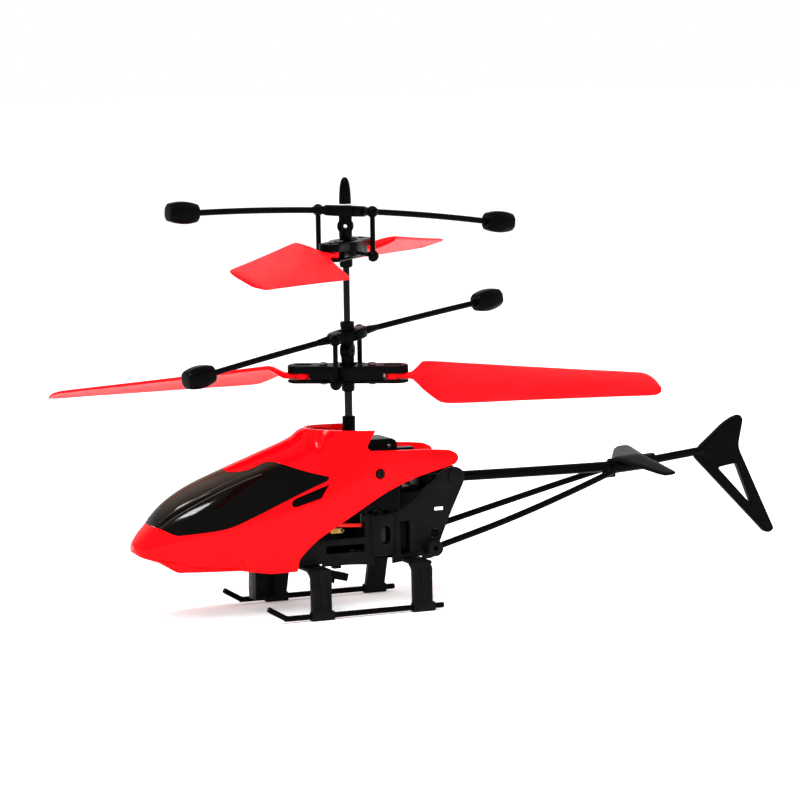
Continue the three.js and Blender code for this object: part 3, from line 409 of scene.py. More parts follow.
def soft_rectangle(x0, x1, y0, y1, corner, steps=5):
    return softened(rectangle(x0, x1, y0, y1), {i: corner for i in range(4)}, steps=steps)


def block(x0, x1, y0, y1, z0, z1, edge=0.15, corner=0.3):
    return plan(soft_rectangle(x0, x1, y0, y1, corner, steps=3), z0, z1, edge)


def spun(profile, sides=32):
    """(radius, height) pairs turned about z; the first and last lie near the axis."""
    tiny = 1e-3
    return loft([[(x, y, height) for x, y in circle(max(radius, tiny), sides)]
                 for radius, height in profile])


def rod(start, end, radius, sides=24, edge=0.08, end_radius=None):
    start, end = Vector(start), Vector(end)
    length = (end - start).length
    last = radius if end_radius is None else end_radius
    profile = [(radius - edge, 0), (radius - 0.3 * edge, 0.3 * edge), (radius, edge),
               (last, length - edge), (last - 0.3 * edge, length - 0.3 * edge), (last - edge, length)]
    turn = (end - start).to_track_quat("Z", "Y").to_matrix().to_4x4()
    return shaped(spun(profile, sides), Matrix.Translation(start) @ turn)


def hole(start, end, radius, sides=24):
    return rod(start, end, radius, sides, edge=0.01)


def ball(centre, radius, sides=24):
    steps = 12
    turns = [pi * (i / steps - 0.5) for i in range(steps + 1)]
    profile = [(radius * cos(a), radius * sin(a)) for a in turns]
    return shaped(spun(profile, sides), Matrix.Translation(Vector(centre)))


def curve_through(points, steps):
    """Evenly many places on a smooth curve through the points."""
    padded = [2 * Vector(points[0]) - Vector(points[1])] + [Vector(p) for p in points]
    padded.append(2 * Vector(points[-1]) - Vector(points[-2]))
    result = []
    for a, b, c, d in zip(padded, padded[1:], padded[2:], padded[3:]):
        for k in range(steps):
            t = k / steps
            result.append(0.5 * (2 * b + (c - a) * t + (2 * a - 5 * b + 4 * c - d) * t ** 2
                                 + (3 * b - a - 3 * c + d) * t ** 3))
    result.append(Vector(points[-1]))
    return result


def tube(points, radius, sides=16, steps=6, dome=0.6):
    """A round bar along a smooth curve, with domed ends inside the curve's length."""
    path = curve_through(points, steps) if len(points) > 2 else [Vector(p) for p in points]
    first = (path[1] - path[0]).normalized()
    last = (path[-1] - path[-2]).normalized()
    depth = dome * radius
    quarter = [pi / 2 * k / 4 for k in range(5)]
    opening = [a + 0.12 for a in quarter[:4]]
    closing = [a * 0.96 for a in quarter[1:]]
    stations = [(path[0] + first * depth * (1 - sin(a)), radius * sin(a)) for a in opening]
    stations.append((path[0] + first * depth, radius))
    stations += [(p, radius) for p in path[1:-1]]
    stations.append((path[-1] - last * depth, radius))
    stations += [(path[-1] - last * depth * (1 - cos(a)), radius * cos(a)) for a in closing]
    rings = []
    across_path = first.orthogonal().normalized()
    for i, (spot, size) in enumerate(stations):
        ahead = stations[min(i + 1, len(stations) - 1)][0] - stations[max(i - 1, 0)][0]
        along = ahead.normalized() if ahead.length > 1e-9 else first
        across_path = (across_path - along * across_path.dot(along)).normalized()
        other = along.cross(across_path)
        rings.append([spot + across_path * x + other * y for x, y in circle(size, sides)])
    return loft(rings)


def stadium(half_length, half_width, steps=10):
    points = []
    for end in (1, -1):
        for i in range(steps + 1):
            angle = -pi / 2 + i / steps * pi
            x = half_length - half_width + half_width * cos(angle)
            points.append((end * x, end * half_width * sin(angle)))
    return points


def polar(radius, degrees, z=0.0):
    angle = radians(degrees)
    return (radius * cos(angle), radius * sin(angle), z)


def finished(made, body, slot, nodes, look, angle):
    """Shades the object, gives it its look and says what it rides on and stands for."""
    made.data.shade_smooth()
    made.data.set_sharp_from_angle(angle=radians(angle))
    made.data.materials.clear()
    made.data.materials.append(MATERIALS[look or slot])
    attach(made, body)
    if nodes:
        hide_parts(*nodes)


def piece(name, made, *nodes, body="fuselage", slot="black_plastic", at=ROOT, look=None, angle=38):
    """The solid as a finished piece: moved from its own frame in mm into the part's frame."""
    shaped(made, at)
    made.name = name
    made.data.name = name
    finished(made, body, slot, nodes, look, angle)


def rounded_copy(node, width, slot="black_plastic", body="fuselage", angle=50):
    """A CAD piece with its edges rounded, which stands for it."""
    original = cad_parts[node]
    made = linked(node + "_finished", original.data.copy())
    made.matrix_world = original.matrix_world
    work = bmesh.new()
    work.from_mesh(made.data)
    bmesh.ops.remove_doubles(work, verts=work.verts, dist=1e-6)
    bmesh.ops.dissolve_limit(work, angle_limit=radians(1), verts=work.verts, edges=work.edges)
    limit = radians(angle)
    edges = [e for e in work.edges if len(e.link_faces) == 2 and e.calc_face_angle(0) > limit]
    bmesh.ops.bevel(work, geom=edges, offset=width * MM, segments=2, profile=0.6,
                    affect="EDGES", clamp_overlap=True)
    bmesh.ops.recalc_face_normals(work, faces=work.faces)
    work.to_mesh(made.data)
    work.free()
    finished(made, body, slot, [node], None, angle)


# ---- canopy ----
# Sections: x, roof height, then (half width, height) of the scoop line, the crease line, the
# widest line and the lower edge.
SHELL_STATIONS = [
    (-53.3, 18.3, 0.6, 18.2, 1.1, 17.9, 1.6, 17.2, 1.0, 16.6),
    (-52.5, 19.3, 1.5, 19.2, 2.8, 18.6, 3.9, 17.3, 2.9, 15.8),
    (-51.1, 20.9, 2.0, 20.8, 3.8, 20.0, 5.3, 17.6, 4.6, 15.3),
    (-49.5, 22.5, 2.4, 22.3, 4.5, 21.4, 6.3, 18.0, 5.8, 14.9),
    (-47.6, 25.2, 2.7, 24.7, 4.9, 22.9, 7.1, 18.4, 6.6, 13.8),
    (-45.0, 27.7, 3.0, 26.9, 5.3, 24.5, 7.9, 18.9, 7.4, 12.3),
    (-39.6, 30.8, 3.3, 29.9, 5.9, 26.9, 9.0, 19.8, 8.5, 11.8),
    (-31.8, 33.8, 3.5, 33.0, 6.3, 30.5, 9.8, 21.0, 9.3, 11.8),
    (-22.9, 37.0, 3.6, 36.2, 6.6, 33.6, 10.1, 22.3, 9.6, 10.7),
    (-14.5, 40.2, 3.6, 39.2, 7.5, 35.3, 10.1, 24.0, 9.7, 10.5),
    (-11.6, 41.9, 1.6, 41.8, 7.9, 35.9, 10.1, 24.5, 9.7, 10.5),
    (-9.5, 41.9, 4.7, 41.8, 8.3, 36.2, 10.1, 25.0, 9.7, 10.5),
    (-5.0, 41.7, 7.3, 41.6, 8.9, 36.7, 10.0, 25.7, 9.6, 10.5),
    (2.3, 41.4, 8.5, 41.3, 9.2, 36.9, 9.7, 27.0, 9.2, 10.5),
    (10.0, 41.0, 8.0, 40.9, 8.7, 36.6, 9.1, 29.0, 8.7, 10.5),
    (18.0, 40.5, 7.4, 40.4, 8.0, 36.1, 8.4, 31.0, 8.1, 10.5),
    (24.0, 40.0, 6.9, 39.9, 7.5, 35.6, 7.8, 32.0, 7.6, 10.5),
]
SHELL_SIDE = [
    (-60, 50), (2.5, 50), (2.5, 41.3), (0.1, 37.8), (0.8, 36.8), (16.2, 36.1), (21.4, 35.6),
    (23.1, 34.7), (23.5, 33.5), (22.6, 32.3), (12.3, 30.1), (4.6, 27.3), (-6, 21.4),
    (-13.4, 17.2), (-17.2, 13.5), (-17.6, 10.75), (-28.9, 10.75), (-30.5, 11.9), (-44.5, 12.3),
    (-46, 8), (-60, 8),
]
SHELL_SIDE_TRIMS = {0: 1, 1: 1, 2: 0.5, 3: 0.5, 4: 0.5, 14: 0.8, 15: 0.4, 16: 0.8, 17: 0.6, 18: 0.6,
                    19: 1, 20: 1}
WINDSHIELD_SIDE = [
    (-58, 40), (-31.7, 40), (-31.9, 33.3), (-27.6, 33.6), (-22.9, 35.4), (-21.4, 35.4),
    (-19.2, 34.7), (-14.3, 32.9), (-9.4, 31.6), (-9.8, 30.9), (-16.5, 28.4), (-25.2, 24.9),
    (-31.9, 22.3), (-35.1, 21.5), (-39.5, 21.1), (-45.2, 20.7), (-46.3, 21.1), (-48.5, 22.3),
    (-49.6, 22.6), (-58, 22.6),
]
WINDSHIELD_TRIMS = {0: 1, 1: 1, 2: 1.2, 8: 0.25, 9: 0.25, 19: 1}
VENT_SIDE = [
    (-18.7, 26.4), (-17.9, 27.2), (-9.5, 29.9), (-11.5, 27.0), (-17.6, 25.4), (-18.5, 25.6),
]
VENT_TRIMS = {2: 0.25, 3: 0.3}
STATION_STEP = 0.7
CHIN_END = -44


def smooth_table(rows):
    """A function of x that runs smoothly through the rows without overshooting them."""
    xs = [row[0] for row in rows]
    columns = list(zip(*rows))[1:]
    slopes = []
    for column in columns:
        rise = [(b - a) / (q - p) for a, b, p, q in zip(column, column[1:], xs, xs[1:])]
        inner = [2 * a * b / (a + b) if a * b > 0 else 0 for a, b in zip(rise, rise[1:])]
        slopes.append([rise[0]] + inner + [rise[-1]])

    def at(x):
        i = max(k for k in range(len(xs) - 1) if k == 0 or xs[k] <= x)
        width = xs[i + 1] - xs[i]
        t = min(max((x - xs[i]) / width, 0), 1)
        values = []
        for column, slope in zip(columns, slopes):
            values.append(column[i] * (2 * t ** 3 - 3 * t ** 2 + 1)
                          + column[i + 1] * (3 * t ** 2 - 2 * t ** 3)
                          + slope[i] * width * (t ** 3 - 2 * t ** 2 + t)
                          + slope[i + 1] * width * (t ** 3 - t ** 2))
        return values

    return at


shell_at = smooth_table(SHELL_STATIONS)


def bend(start, control, end, count):
    """Points of a quadratic arc, without its start."""
    result = []
    for k in range(1, count + 1):
        t = k / count
        result.append(tuple(a * (1 - t) ** 2 + b * 2 * t * (1 - t) + c * t ** 2
                            for a, b, c in zip(start, control, end)))
    return result


def section(x, inset, drop):
    """The canopy's ring at x, set inwards by the wall where it is the inner skin."""
    roof, scoop_y, scoop_z, crease_y, crease_z, wide_y, wide_z, low_y, low_z = shell_at(x)
    if inset == 0:
        low_y += 0.3 * min(max((x + 29.5) / 0.7, 0), 1)
    scoop = (max(0.2, scoop_y - inset), scoop_z - inset)
    crease = (max(0.4, crease_y - inset * 0.9), crease_z - inset * 0.5)
    wide = (max(0.6, wide_y - inset), wide_z)
    low = (max(0.4, low_y - inset), low_z + drop)
    shoulder = (scoop[0] + 0.62 * (crease[0] - scoop[0]), scoop[1] - 0.35 * (scoop[1] - crease[1]))
    flank = (wide[0] - 0.1, wide[1] + 0.55 * (crease[1] - wide[1]))
    skirt = (wide[0], low[1] + 0.4 * (wide[1] - low[1]))
    half = [(0, roof - inset), (scoop[0] * 0.5, roof - inset - 0.25 * (roof - scoop_z)), scoop]
    half += bend(scoop, shoulder, crease, 7)
    half += bend(crease, flank, wide, 9)
    half += bend(wide, skirt, low, 6)
    half += [(low[0] * 0.5, low[1]), (0, low[1])]
    mirrored = [(-y, z) for y, z in reversed(half[1:-1])]
    return [(x, y, z) for y, z in half + mirrored]


def skin(inset, start=0, rear=0.0):
    """A closed skin from one end of the canopy to the other. An inner skin is dropped out of the
    bottom behind the chin, so that the canopy is open below."""
    first = SHELL_STATIONS[start][0]
    last = SHELL_STATIONS[-1][0]
    count = round((last - first) / STATION_STEP)
    rings = []
    for i in range(count + 1):
        x = first + (last - first) * i / count
        drop = 0 if inset == 0 else (inset if x < CHIN_END else -3)
        ring = section(x, inset, drop)
        shift = (0.3 if i == 0 and inset else 0) + (rear if i == count else 0)
        rings.append([(px + shift, y, z) for px, y, z in ring])
    return loft(rings)


def scoop_opening():
    points = [(2.3 + 13.1 * cos(a), 7.7 * sin(a))
              for a in [pi / 2 + pi * i / 28 for i in range(29)]]
    return plan([(3, 7.7)] + points + [(3, -7.7)], 30, 50)


def shell_between(outer, inner, outline, y0=-WIDE, y1=WIDE):
    """The part of the canopy's wall between two depths that lies within a side outline."""
    return overlap(cut(skin(outer), skin(inner, 2, rear=6)), side(outline, y0, y1))


def screw_holes(radius):
    x, z = SCREW_SPOT
    return [hole((x, y0, z), (x, y1, z), radius) for y0, y1 in ((5, WIDE), (-WIDE, -5))]


def half_width_at(x, z):
    """How far the canopy's outer skin is from the middle at that place."""
    ring = [(y, height) for px, y, height in section(x, 0, 0) if y >= 0]
    for (y0, z0), (y1, z1) in zip(ring, ring[1:]):
        if min(z0, z1) <= z <= max(z0, z1) and z0 != z1:
            return y0 + (y1 - y0) * (z - z0) / (z1 - z0)
    return ring[0][0]


WINDOW_OUTLINE = softened(WINDSHIELD_SIDE, WINDSHIELD_TRIMS)
VENT_OUTLINE = softened(VENT_SIDE, VENT_TRIMS)


# Fine seam lines on each side of the nose: along the chin, and where the chin piece ends.
SEAMS = [
    [(-48.4, 15.2), (-45.2, 14.5), (-41.8, 13.5), (-36, 12.75), (-31.6, 12.5)],
    [(-31.3, 14.7), (-30.2, 13.2), (-29.2, 11.6)],
]


def seams():
    lines = []
    for sign in (-1, 1):
        for line in SEAMS:
            points = [(x, sign * (half_width_at(x, z) + 0.02), z) for x, z in line]
            lines.append(tube(points, 0.2, sides=10, steps=5))
    return lines


def canopy():
    shell = shell_between(0, SHELL_WALL, softened(SHELL_SIDE, SHELL_SIDE_TRIMS))
    shell = cut(shell, scoop_opening(), side(grown(WINDOW_OUTLINE, 0.1), -WIDE, WIDE),
                side(grown(VENT_OUTLINE, 0.1), -WIDE, WIDE), *screw_holes(1.2), *seams())
    piece("canopy", shell, "body_shell", slot="red_shell", angle=24)
    glass = shell_between(0, WINDOW_WALL, WINDOW_OUTLINE)
    piece("windscreen", glass, "windshield", slot="smoked_window", angle=24)


def window_ridges():
    """Two fine raised lines along the windscreen on each side, coloured lighter than the glass as a
    painted highlight along each line.
    """
    upper = [(-48.3, 23.3), (-45, 25.6), (-40.5, 27.9), (-35, 30.4), (-29.3, 32.6), (-24.5, 34.1)]
    for name, sign in SIDES:
        for level, drop in (("upper", 0), ("lower", -1.1)):
            line = [(x, sign * (half_width_at(x, z + drop) - 0.07), z + drop) for x, z in upper]
            ridge = tube(line, 0.15, sides=14, steps=10)
            piece(f"{name}_{level}_window_ridge", ridge, slot="smoked_window", look="painted_highlight_line")


def vents():
    for name, sign in SIDES:
        insert = shell_between(0.45, 1.1, VENT_OUTLINE, 0, sign * WIDE)
        piece(f"{name}_vent", insert, f"{name}_vent_grille")


def cross_recess(depth, reach, width):
    return [block(-reach, reach, -width, width, -depth, 1, 0.02, 0.05),
            block(-width, width, -reach, reach, -depth, 1, 0.02, 0.05)]


def shell_screws():
    for name, sign in SIDES:
        head = spun([(0, -3.03), (0.45, -3.03), (0.5, -2.9), (0.5, -1.1), (0.95, -1.1), (1.0, -1.0),
                     (1.0, -0.3), (0.85, -0.05), (0.4, 0), (0, 0.02)])
        head = cut(head, *cross_recess(0.45, 0.6, 0.16))
        turn = moved(ROOT, (SCREW_SPOT[0], sign * 9.95, SCREW_SPOT[1]), (1, 0, 0), sign * -90)
        piece(f"{name}_canopy_screw", head, f"{name}_shell_screw", slot="dark_metal", at=turn)


# ---- frame ----
PLATE_SIDE = [
    (-26, 11.2), (-13.4, 10.8), (-3.8, 10.8), (5.8, 10.1), (11, 10.7), (16.8, 10.7), (18.4, 11.6),
    (18.4, 13.4), (20.7, 18.9), (25.2, 28.2), (25.2, 30.3), (23.4, 31.6), (20.4, 31.2),
    (14.5, 26.5), (9.6, 22.2), (0.4, 21.9), (0.1, 16.9), (-26, 16.9),
]
RIVET_SPOT = (17.5, 16.5)
PLATE_TRIMS = {0: 0.4, 1: 2, 2: 2, 3: 3, 4: 2, 13: 1.5, 14: 1.2, 15: 0.4, 16: 0.5, 17: 0.5}


def side_plate(name, sign):
    """Flat plate with the motor's sleeve, the brace's boss, slots and holes."""
    near, far = sign * PLATE_INNER_Y, sign * PLATE_OUTER_Y
    inside, outside = (sign * y for y in PLATE_CUT)

    def through(x, z, radius):
        return hole((x, inside, z), (x, outside, z), radius)

    def boss(x, z, radius, height):
        return rod((x, sign * (PLATE_INNER_Y + 0.1), z), (x, far + sign * height, z), radius, 32, 0.2)

    def window(x0, x1, z0, z1, corner=0.35):
        return side(soft_rectangle(x0, x1, z0, z1, corner, steps=3), inside, outside)

    def upright(z0, z1, radius, edge=0.01):
        spot = (MOTOR_X, sign * MOTOR_Y)
        return rod((*spot, z0), (*spot, z1), radius, 48, edge)

    plate = side(softened(PLATE_SIDE, PLATE_TRIMS), near, far, 0.15)
    plate = join(plate, upright(12.5, 21.9, MOTOR_R + 1.1, 0.25))
    plate = cut(plate, upright(0, 21.0, MOTOR_R + 0.3), upright(20, 30, MOTOR_R - 0.4))
    plate = join(plate, boss(*BRACE_BOSS, 1.9, 3.4), boss(13.4, 13.6, 0.7, 0.5),
                 boss(23.0, 29.4, 1.9, 0.5))
    slot = side([(4.65 + y, 17.2 + long) for long, y in stadium(2.1, 1.25)], inside, outside)
    rivet_x, rivet_z = RIVET_SPOT
    plate = cut(plate, slot, through(rivet_x, rivet_z, 1.0), through(*BRACE_BOSS, 0.6),
                window(17.5, 20.1, 21.6, 22.5, 0.25), window(8.9, 11.3, 12.2, 19.8),
                window(-9.4, 0, 13.6, 15.4), through(-18, 14.2, 1.4),
                *[window(x - 2.2, x + 3.2, 9, CROSSBAR_TOP + 0.3) for x in (FRONT_LEG_X, REAR_LEG_X)])
    piece(f"{name}_frame_plate", plate, f"{name}_side_plate", look="frame_black")
    rivet = rod((rivet_x, near + sign * 0.1, rivet_z), (rivet_x, far - sign * 0.3, rivet_z),
                0.95, 28, 0.1)
    piece(f"{name}_frame_rivet", rivet)


# Width of the rounding on each CAD piece's edges, and where it isn't black plastic on the fuselage,
# its slot and its body.
ROUNDED = {
    "belly_tray": (0.12,),
    "gear_case": (0.18,),
    "mast_collar": (0.12,),
    # The motors use a steel darkened as painted shade.
    "left_motor": (0.3, "motor_steel"),
    "right_motor": (0.3, "motor_steel"),
    "battery": (0.8, "battery_foil"),
    "circuit_board": (0.08, "circuit_green"),
    "ground_sensor": (0.2,),
    "charge_socket": (0.12,),
    "power_switch": (0.15,),
    "switch_slider": (0.08, "black_plastic", "switch_knob"),
    "outer_shaft": (0.04, "dark_metal", "lower_rotor"),
    "inner_shaft": (0.05, "dark_metal", "upper_rotor"),
    "outer_shaft_gear": (0.03, "white_nylon", "lower_rotor"),
    "inner_shaft_gear": (0.03, "white_nylon", "upper_rotor"),
    "left_pinion": (0.02, "brass", "left_motor_shaft"),
    "right_pinion": (0.02, "brass", "right_motor_shaft"),
}


def middle_shade_wall():
    """Dark wall along the middle of the frame, from the battery back to the motors: painted shade, a
    dark sheet where the inside of the frame lies in shade.
    """
    piece("middle_shade_wall", side(softened(rectangle(-19.8, 0.6, 12.4, 20.2)), -0.3, 0.3, 0.1))


def painted_shade_sheets():
    """Thin dark covers over the gear case's side openings, and behind each plate's rear window:
    painted shade, dark sheets where the inside of the frame lies in shade.
    """
    for name, sign in SIDES:
        outline = soft_rectangle(-7.2, 8.7, 23.2, 31.2, 1.0)
        piece(f"{name}_gear_shade_cover", side(outline, sign * 6.83, sign * 7.2, 0.1))
        shade_liner = block(8.4, 12.2, *sorted((sign * 5.4, sign * 5.8)), 12.4, 20.2)
        piece(f"{name}_window_shade_liner", shade_liner)


def gear_case_details():
    """A tongue behind the gear case's top block, and a small screw in each side of the block."""
    piece("gear_case_tongue", block(9.0, 15.2, -1.3, 1.3, 35.3, 36.0, 0.1, 0.5))
    for name, sign in SIDES:
        head = spun([(0, -0.3), (0.5, -0.3), (0.5, 0.12), (0.38, 0.25), (0, 0.28)], 24)
        head = cut(head, *cross_recess(0.1, 0.32, 0.08))
        turn = moved(ROOT, (7.6, sign * 4.2, 37.0), (1, 0, 0), sign * -90)
        piece(f"{name}_block_screw", head, slot="screw_steel", at=turn)


def wiring():
    """The red motor wire, a black wire behind it and a bare brass tab with a bead of solder."""
    red = [(-12.0, -5.0, 21.1), (-10.5, -5.1, 21.0), (-8.5, -5.4, 20.5), (-5.5, -5.5, 19.9),
           (-2.5, -5.3, 19.6), (0.0, -5.0, 19.4)]
    piece("motor_wire", tube(red, 0.5, steps=8), "red_motor_wire", slot="red_wire")
    black = [(-11.5, -3.4, 21.9), (-8, -3.6, 21.6), (-4, -3.9, 20.9), (-0.5, -4.1, 20.2)]
    piece("black_motor_wire", tube(black, 0.45, steps=8))
    piece("brass_tab", block(-7.6, -4.4, -5.2, -4.8, 17.9, 19.1, 0.05, 0.3), slot="brass")
    piece("solder_bead", ball((-4.6, -5.1, 18.5), 0.5), slot="screw_steel")


# ---- tail ----
BOOM_LINE = [(19.6, 0, 28.3), (45, 0, 28.0), (64, 0, 27.87), (70, 0, 28.05), (76, 0, 28.45)]
BOOM_R = 1.2
BRACE_R = 0.75
FIN_SIDE = [
    (88.8, 28.7), (108.1, 9.0), (109.6, 8.7), (110.85, 9.6), (100.9, 30.4), (102.3, 37.0),
    (101.4, 38.2), (99.4, 37.7), (97.0, 36.4), (90.3, 31.0),
]
FIN_TRIMS = {0: 1.0, 1: 0.6, 4: 1.6, 5: 0.8, 6: 0.8, 9: 1.0}
FIN_WINDOW = [(95.2, 25.7), (100.3, 26.4), (104.6, 15.8)]
SLEEVE_MIDDLE = (72.2, 0, 28.17)
STABILISER_HALF_THICKNESS = 0.4


def boom():
    shaft = tube(BOOM_LINE, BOOM_R, sides=28, steps=8, dome=0.25)
    x, y, z = BOOM_LINE[0]
    piece("boom", cut(shaft, hole((x - 1, y, z), (x + 6, y, z), 0.7)), "tail_boom")


def fin():
    blade = side(softened(FIN_SIDE, FIN_TRIMS), -0.7, 0.7, 0.25)
    stub = rod((76.4, 0, 28.5), (91.5, 0, 30.05), 0.98, 24, 0.15)
    blade = cut(join(blade, stub), side(softened(FIN_WINDOW, {0: 0.8, 1: 0.8, 2: 0.8}), -3, 3))
    piece("fin", blade, "tail_fin")


def stabiliser():
    """Two swept halves on a sleeve, thin at their rims, with a lug for the braces below."""
    rings = []
    for i in range(-12, 13):
        share = i / 12
        reach = abs(share)
        y = 12 * share
        front = 7.0 * reach - 5.5
        chord = 8.8 - 4.4 * reach
        if reach == 1:
            front, chord = front + 0.5, chord - 1.0
        middle = 2.1 - 1.4 * reach - STABILISER_HALF_THICKNESS
        points = []
        for face, steps in ((1, range(9)), (-1, range(7, 0, -1))):
            for t in [k / 8 for k in steps]:
                rise = STABILISER_HALF_THICKNESS * sqrt(1 - (2 * t - 1) ** 4)
                points.append((front + chord * t, y, middle + face * rise))
        rings.append(points)
    wing = join(loft(rings), rod((-6, 0, 0), (6, 0, 0), 1.85, 32, 0.2),
                block(-7.3, -4.8, -1.3, 1.3, -2.4, 0.6))
    wing = cut(wing, hole((-12, 0, 0), (12, 0, 0), BOOM_R + 0.28))
    frame_of = moved(moved(ROOT, SLEEVE_MIDDLE, (0, -1, 0), 3.4), (0, 0, 0), (1, 0, 0), 9)
    piece("stabiliser", wing, "tail_stabiliser", at=frame_of)


def braces():
    line = [(BRACE_BOSS[0] + 2.25, 9.15, 14.05), (32, 8.4, 17.46), (44, 6.97, 20.7),
            (56, 4.86, 24.1), (65.6, 2.6, 26.85)]
    for name, sign in SIDES:
        bar = tube([(x, sign * y, z) for x, y, z in line], BRACE_R, sides=18, steps=6, dome=0.3)
        piece(f"{name}_brace", bar, f"{name}_tail_brace")


# ---- landing gear ----
LEG_PANEL_DEPTH = 0.5
LEG_LEAN = 1.7 / 9.45


def leg(x, sign):
    """Channelled strut that flares at its top, leaning out to the skid."""
    outline = [(x - 2.7, 1.4), (x + 2.0, 1.4), (x + 2.3, 6), (x + 2.7, 9.9), (x + 1.9, 11.1),
               (x - 3.0, 11.1), (x - 2.2, 9.6), (x - 2.4, 6)]
    trims = {0: 0.3, 1: 0.3, 3: 1.2, 4: 0.8, 5: 0.3, 6: 1.2}
    strut = side(softened(outline, trims), -0.8, 0.8, 0.2)
    for start, end in ((-1.75, -0.35), (0.15, 1.5)):
        panel = soft_rectangle(x + start, x + end, 2.5, 9.9, 0.4)
        bottom = sign * LEG_PANEL_DEPTH
        strut = cut(strut, side(panel, bottom, bottom + sign, 0.15))
    lean = Matrix.Identity(4)
    lean[1][2] = -sign * LEG_LEAN
    lean[1][3] = sign * (14.0 + 1.6 * LEG_LEAN)
    return shaped(strut, lean)


def landing_legs(name, x):
    whole = block(x - 1.9, x + 2.9, -12.6, 12.6, CROSSBAR_BOTTOM, CROSSBAR_TOP, 0.15, 0.5)
    for sign in (-1, 1):
        y = sign * SKID_Y
        clip = across(soft_rectangle(y - SKID_Z, y + SKID_Z, 0, 2 * SKID_Z, 0.5),
                      x - 2.9, x + 2.5, 0.15)
        whole = join(whole, leg(x, sign), clip)
        whole = cut(whole, hole((x - 9, y, SKID_Z), (x + 9, y, SKID_Z), 0.85))
    piece(f"{name}_legs", whole, f"{name}_landing_legs", look="frame_black")


def skids():
    for name, sign in SIDES:
        y = sign * SKID_Y
        line = [(16.2, y, SKID_Z), (0, y, SKID_Z), (-20.6, y, SKID_Z), (-22.3, y, 1.2),
                (-23.6, y, 1.85), (-26.6, y, 3.6)]
        runner = tube(line, 0.65, sides=20, steps=5, dome=0.8)
        piece(f"{name}_runner", runner, f"{name}_skid")


# ---- rotor heads ----
# A head is drawn with its blades along x. hand is +1 where the flybar leads counter-clockwise
# and -1 on the mirrored head. Ends a and b are the two halves of everything that repeats.
HEADS = {
    "lower": dict(hand=1, height=LOWER_HEAD_Z, angle=-29.8, teeter=8.5, feather=5.1, fold=-2.6,
                  levels=(-1.4, 0.1), droops=(-0.6, 5.6), flybar_droop=0.5, top=11.8,
                  bore=OUTER_SHAFT_R + 0.13, bore_top=13, rotor="lower_rotor"),
    "upper": dict(hand=-1, height=UPPER_HEAD_Z, angle=49.3, teeter=-3.8, feather=2.9, fold=-1.5,
                  levels=(-0.75, -0.75), droops=(2.2, 0.1), flybar_droop=1.5, top=9.9,
                  bore=INNER_SHAFT_R + 0.12, bore_top=4.2, rotor="upper_rotor"),
}


def rotor_hub(head):
    """Column with chamfered ends, stub pivots and a disc with a cross hole."""
    hand, top = head["hand"], head["top"]
    eye = Vector(polar(1, hand * -15))
    stub = Vector(polar(2.9, hand * (FLYBAR_LEAD + 90)))
    rise = Vector((0, 0, FLYBAR_RISE))
    lift = Vector((0, 0, 5.2))
    column = spun([(0, -4.2), (1.2, -4.2), (1.45, -3.95), (COLUMN_R, -3.6), (COLUMN_R, -0.9),
                   (1.42, -0.7), (1.42, 2.6), (COLUMN_R, 2.8), (COLUMN_R, top - 1.3),
                   (1.62, top - 1.2), (1.62, top - 0.15), (1.45, top), (0, top)], 40)
    column = join(column, rod((-3.3, 0, 0), (3.3, 0, 0), 0.7, 24),
                  rod(stub + rise, rise - stub, 0.6, 24),
                  rod(lift + eye * 1.25, lift - eye * 1.25, 1.85, 36, 0.15))
    return cut(column, hole((0, 0, -5), (0, 0, head["bore_top"]), head["bore"], 32),
               hole(lift + eye * 3, lift - eye * 3, 0.45))


def arm(foot, tip):
    """An arm of the grip or the flybar, with the ball that a link sits on."""
    return [rod(foot, tip, ARM_R, 16, 0.05), ball(tip, ARM_BALL_R, 20)]


def blade_grip(hand):
    """Bar with rounded rims, an open slot for each blade, screw wells and link arms."""
    grip = join(plan(stadium(GRIP_HALF_LENGTH, 2.5, 14), GRIP_BOTTOM, GRIP_TOP, 0.35),
                plan(stadium(5.2, 3.35, 14), GRIP_BOTTOM, GRIP_TOP, 0.35))
    for end in (1, -1):
        slot = sorted((8.35 * end, 20 * end))
        grip = cut(grip, block(*slot, -4, 4, -2, 0.25, 0.02, 0.1))
        grip = join(grip, rod((BLADE_PIVOT * end, 0, GRIP_BOTTOM + 0.05),
                              (BLADE_PIVOT * end, 0, 1), 0.8, 24, 0.05))
        tip = Vector(polar(LINK_RADIUS * end, hand * LINK_LEAD, -LINK_DROP))
        foot = Vector((tip.x * 0.45, tip.y * 0.45, -0.8))
        grip = join(grip, *arm(foot, tip))
        well = (GRIP_SCREW * end, 0)
        grip = cut(grip, hole((*well, -3), (*well, 3), 0.6),
                   plan([(x + BLADE_PIVOT * end, y) for x, y in stadium(2.1, 0.9)],
                        GRIP_TOP - 0.25, GRIP_TOP + 1))
    return cut(grip, block(-1.85, 1.85, -2.15, 2.15, -3, 3, 0.02, 0.2),
               hole((-3.6, 0, 0), (3.6, 0, 0), 0.8))


def grip_plate():
    plate = plan(stadium(GRIP_HALF_LENGTH, 2.45, 14), -2.05, -1.5, 0.15)
    wells = [hole((GRIP_SCREW * end, 0, -3), (GRIP_SCREW * end, 0, 0), 0.6) for end in (1, -1)]
    return cut(plate, block(-1.85, 1.85, -2.15, 2.15, -3, 0, 0.02, 0.2), *wells)


